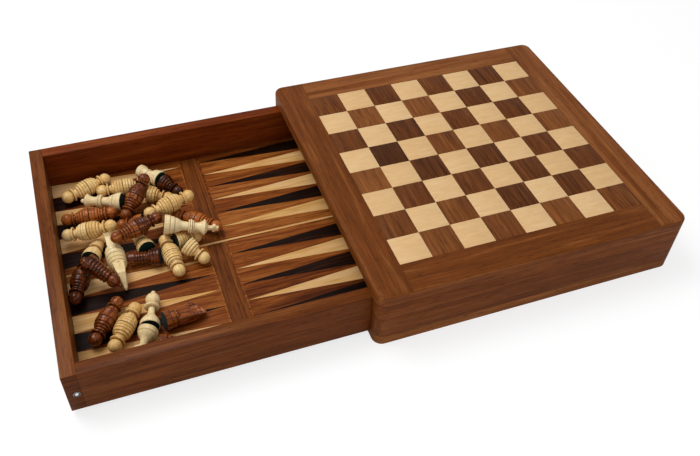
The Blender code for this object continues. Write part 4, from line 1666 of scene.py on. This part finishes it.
@dataclass
class BallCatch:
    """Sprung ball catch: a flanged steel cup, pressed in flush, that holds a bearing ball."""

    finishes: Finishes
    cup_wall: float = 0.45
    lip_fit: float = 0.15
    recess: float = 0.5
    recess_depth: float = 0.9
    lathe: Lathe = field(default_factory=lambda: Lathe(sides=48))

    def build(self) -> None:
        """Turn the cup and the ball at the catch's place, facing the viewer's side."""
        low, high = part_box("catch_cup")
        ball_low, ball_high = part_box("catch_ball")
        middle = (low + high) / 2
        flange = (high.z - low.z) / 2 / MM
        depth = (high.y - low.y) / MM
        ball = (ball_high.z - ball_low.z) / 2 / MM
        shows = (low.y - ball_low.y) / MM
        lip = math.sqrt(ball**2 - (ball - shows) ** 2) + self.lip_fit
        body = ball + self.lip_fit + self.cup_wall
        outward = Matrix.Translation((middle.x, low.y, middle.z)) @ Matrix.Rotation(math.pi / 2, 4, "X")

        cup = Outline.foot(-depth, body).to((-0.6, body), (-0.5, flange - 0.1), (-0.2, flange))
        cup.to((-0.08, flange - 0.05), (0.0, flange - 0.3), (0.0, lip + self.recess))
        cup.to((-self.recess_depth, lip + self.recess - 0.1), (-self.recess_depth, lip + 0.05))
        bore = ball + self.lip_fit
        cup.to((shows - ball, bore), (self.cup_wall - depth, bore), (self.cup_wall - depth - 0.01, 0.3))
        shell = self.lathe.turn("catch_cup_shell", cup)
        shell.data.transform(outward)
        smooth(shell)
        finish_piece(shell, self.finishes.steel, Body.DRAWER, "steel", "catch_cup")

        bearing = Outline().ball(shows - ball, ball, -86, 86, 20)
        sphere = self.lathe.turn("catch_bearing_ball", bearing)
        sphere.data.transform(outward)
        smooth(sphere)
        finish_piece(sphere, self.finishes.polished_steel, Body.BALL, "polished_steel", "catch_ball")


# ---------------------------------------------------------------- studio


@dataclass
class Studio:
    """Camera at the photograph's angle, a plain white floor and soft light from above."""

    lens: float = 41.0
    sensor: float = 36.0
    camera_place: tuple[float, float, float] = (-0.2808, -0.4356, 0.4670)
    camera_turn: tuple[float, float, float] = (44.646, -2.381, -20.253)
    floor_size: float = 6.0
    floor_white: str = "#F2F2F2"
    glow_share: float = 0.6
    glow_strength: float = 1.2
    sky_strength: float = 0.45
    key_place: tuple[float, float, float] = (-0.55, 0.35, 1.15)
    key_size: float = 0.7
    key_power: float = 9.0
    fill_place: tuple[float, float, float] = (-0.2, -0.62, 0.3)
    fill_size: float = 0.35
    fill_power: float = 0.6
    aim: tuple[float, float, float] = (-0.1, 0.0, 0.03)

    def build(self) -> None:
        """Set up the camera, the lamps, the sky and the floor."""
        self.camera()
        self.lamp("key_light", self.key_place, self.key_size, self.key_power)
        self.lamp("fill_light", self.fill_place, self.fill_size, self.fill_power)
        self.sky()
        self.floor()
        bpy.context.scene.view_settings.view_transform = "Standard"

    def camera(self) -> None:
        """Create the camera and make it the scene's."""
        camera = bpy.data.cameras.new("camera")
        camera.lens = self.lens
        camera.sensor_width = self.sensor
        stand = bpy.data.objects.new("camera", camera)
        stand.location = self.camera_place
        stand.rotation_euler = Euler([math.radians(angle) for angle in self.camera_turn])
        bpy.context.scene.collection.objects.link(stand)
        bpy.context.scene.camera = stand

    def lamp(self, name: str, place: tuple, size: float, power: float) -> None:
        """Hang a square soft lamp that faces the box.

        Args:
            name: name of the lamp.
            place: where it hangs.
            size: length of its side.
            power: its power in watts.
        """
        light = bpy.data.lights.new(name, "AREA")
        light.size = size
        light.energy = power
        stand = bpy.data.objects.new(name, light)
        stand.location = place
        towards = Vector(self.aim) - Vector(place)
        stand.rotation_euler = towards.to_track_quat("-Z", "Y").to_euler()
        bpy.context.scene.collection.objects.link(stand)

    def background_share(self, tree: bpy.types.NodeTree) -> bpy.types.NodeSocket:
        """Tell the rays that see the background, straight or through a clear piece, from the rest.

        Args:
            tree: node tree of the sky or the floor.

        Returns:
            Socket that is 1 for such a ray and 0 for any other.
        """
        path = add_node(tree, "ShaderNodeLightPath").outputs
        links = {0: path["Is Camera Ray"], 1: path["Is Transmission Ray"]}
        return add_node(tree, "ShaderNodeMath", {"operation": "MAXIMUM"}, links).outputs["Value"]

    def sky(self) -> None:
        """Light the box evenly all round, and show white behind it."""
        world = bpy.data.worlds.new("studio_sky")
        world.use_nodes = True
        tree = world.node_tree
        background = tree.nodes["Background"]
        levels = {"To Min": self.sky_strength, "To Max": 1.0}
        links = {"Value": self.background_share(tree)}
        strength = add_node(tree, "ShaderNodeMapRange", levels, links).outputs["Result"]
        tree.links.new(strength, background.inputs["Strength"])
        background.inputs["Color"].default_value = (1, 1, 1, 1)
        bpy.context.scene.world = world

    def floor(self) -> None:
        """Lay a white floor that keeps the box's soft shadow."""
        deselect()
        bpy.ops.mesh.primitive_plane_add(size=self.floor_size)
        floor = bpy.context.active_object
        floor.name = "studio_floor"
        material = bpy.data.materials.new("matt_white_paper")
        material.use_nodes = True
        tree = material.node_tree
        tree.nodes.clear()
        paper = add_node(tree, "ShaderNodeBsdfDiffuse", {"Color": linear(self.floor_white)})
        glow = add_node(
            tree, "ShaderNodeEmission", {"Color": (1, 1, 1, 1), "Strength": self.glow_strength}
        )
        share = add_node(
            tree,
            "ShaderNodeMath",
            {"operation": "MULTIPLY", 1: self.glow_share},
            {0: self.background_share(tree)},
        ).outputs["Value"]
        sources = {0: share, 1: paper.outputs["BSDF"], 2: glow.outputs["Emission"]}
        mixed = add_node(tree, "ShaderNodeMixShader", links=sources).outputs["Shader"]
        add_node(tree, "ShaderNodeOutputMaterial", links={"Surface": mixed})
        floor.data.materials.append(material)


# ---------------------------------------------------------------- the whole box


def dress_hidden_nodes(frame: dict, finishes: Finishes) -> None:
    """Give the solids that stay as they are, deep inside the box, a finish of their own.

    Args:
        frame: the loaded frame.
        finishes: the finishes of the box.
    """
    for node, material, slot in (
        ("board_panel", finishes.frame_wood, "sheesham"),
        ("steel_sheet", finishes.steel, "steel"),
        ("catch_spring", finishes.steel, "steel"),
    ):
        piece = frame["nodes"][node]
        piece.data.materials.clear()
        piece.data.materials.append(material)
        LOG.info("%s keeps its solid", node)


def main() -> None:
    """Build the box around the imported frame."""
    logging.basicConfig(level=logging.INFO, format="%(message)s")
    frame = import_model()
    finishes = Finishes()
    Studio().build()
    CaseBox(finishes).build()
    TopFrame(finishes).build()
    ChessBoard(finishes).build()
    DrawerBox(finishes).build()
    GameField(finishes).build()
    BallCatch(finishes).build()
    chess_nodes = sorted(name for name in frame["nodes"] if name.startswith(("boxwood_", "rosewood_")))
    ChessHeap(finishes).build(chess_nodes)
    dress_hidden_nodes(frame, finishes)
    deselect()


if __name__ == "__main__":
    main()
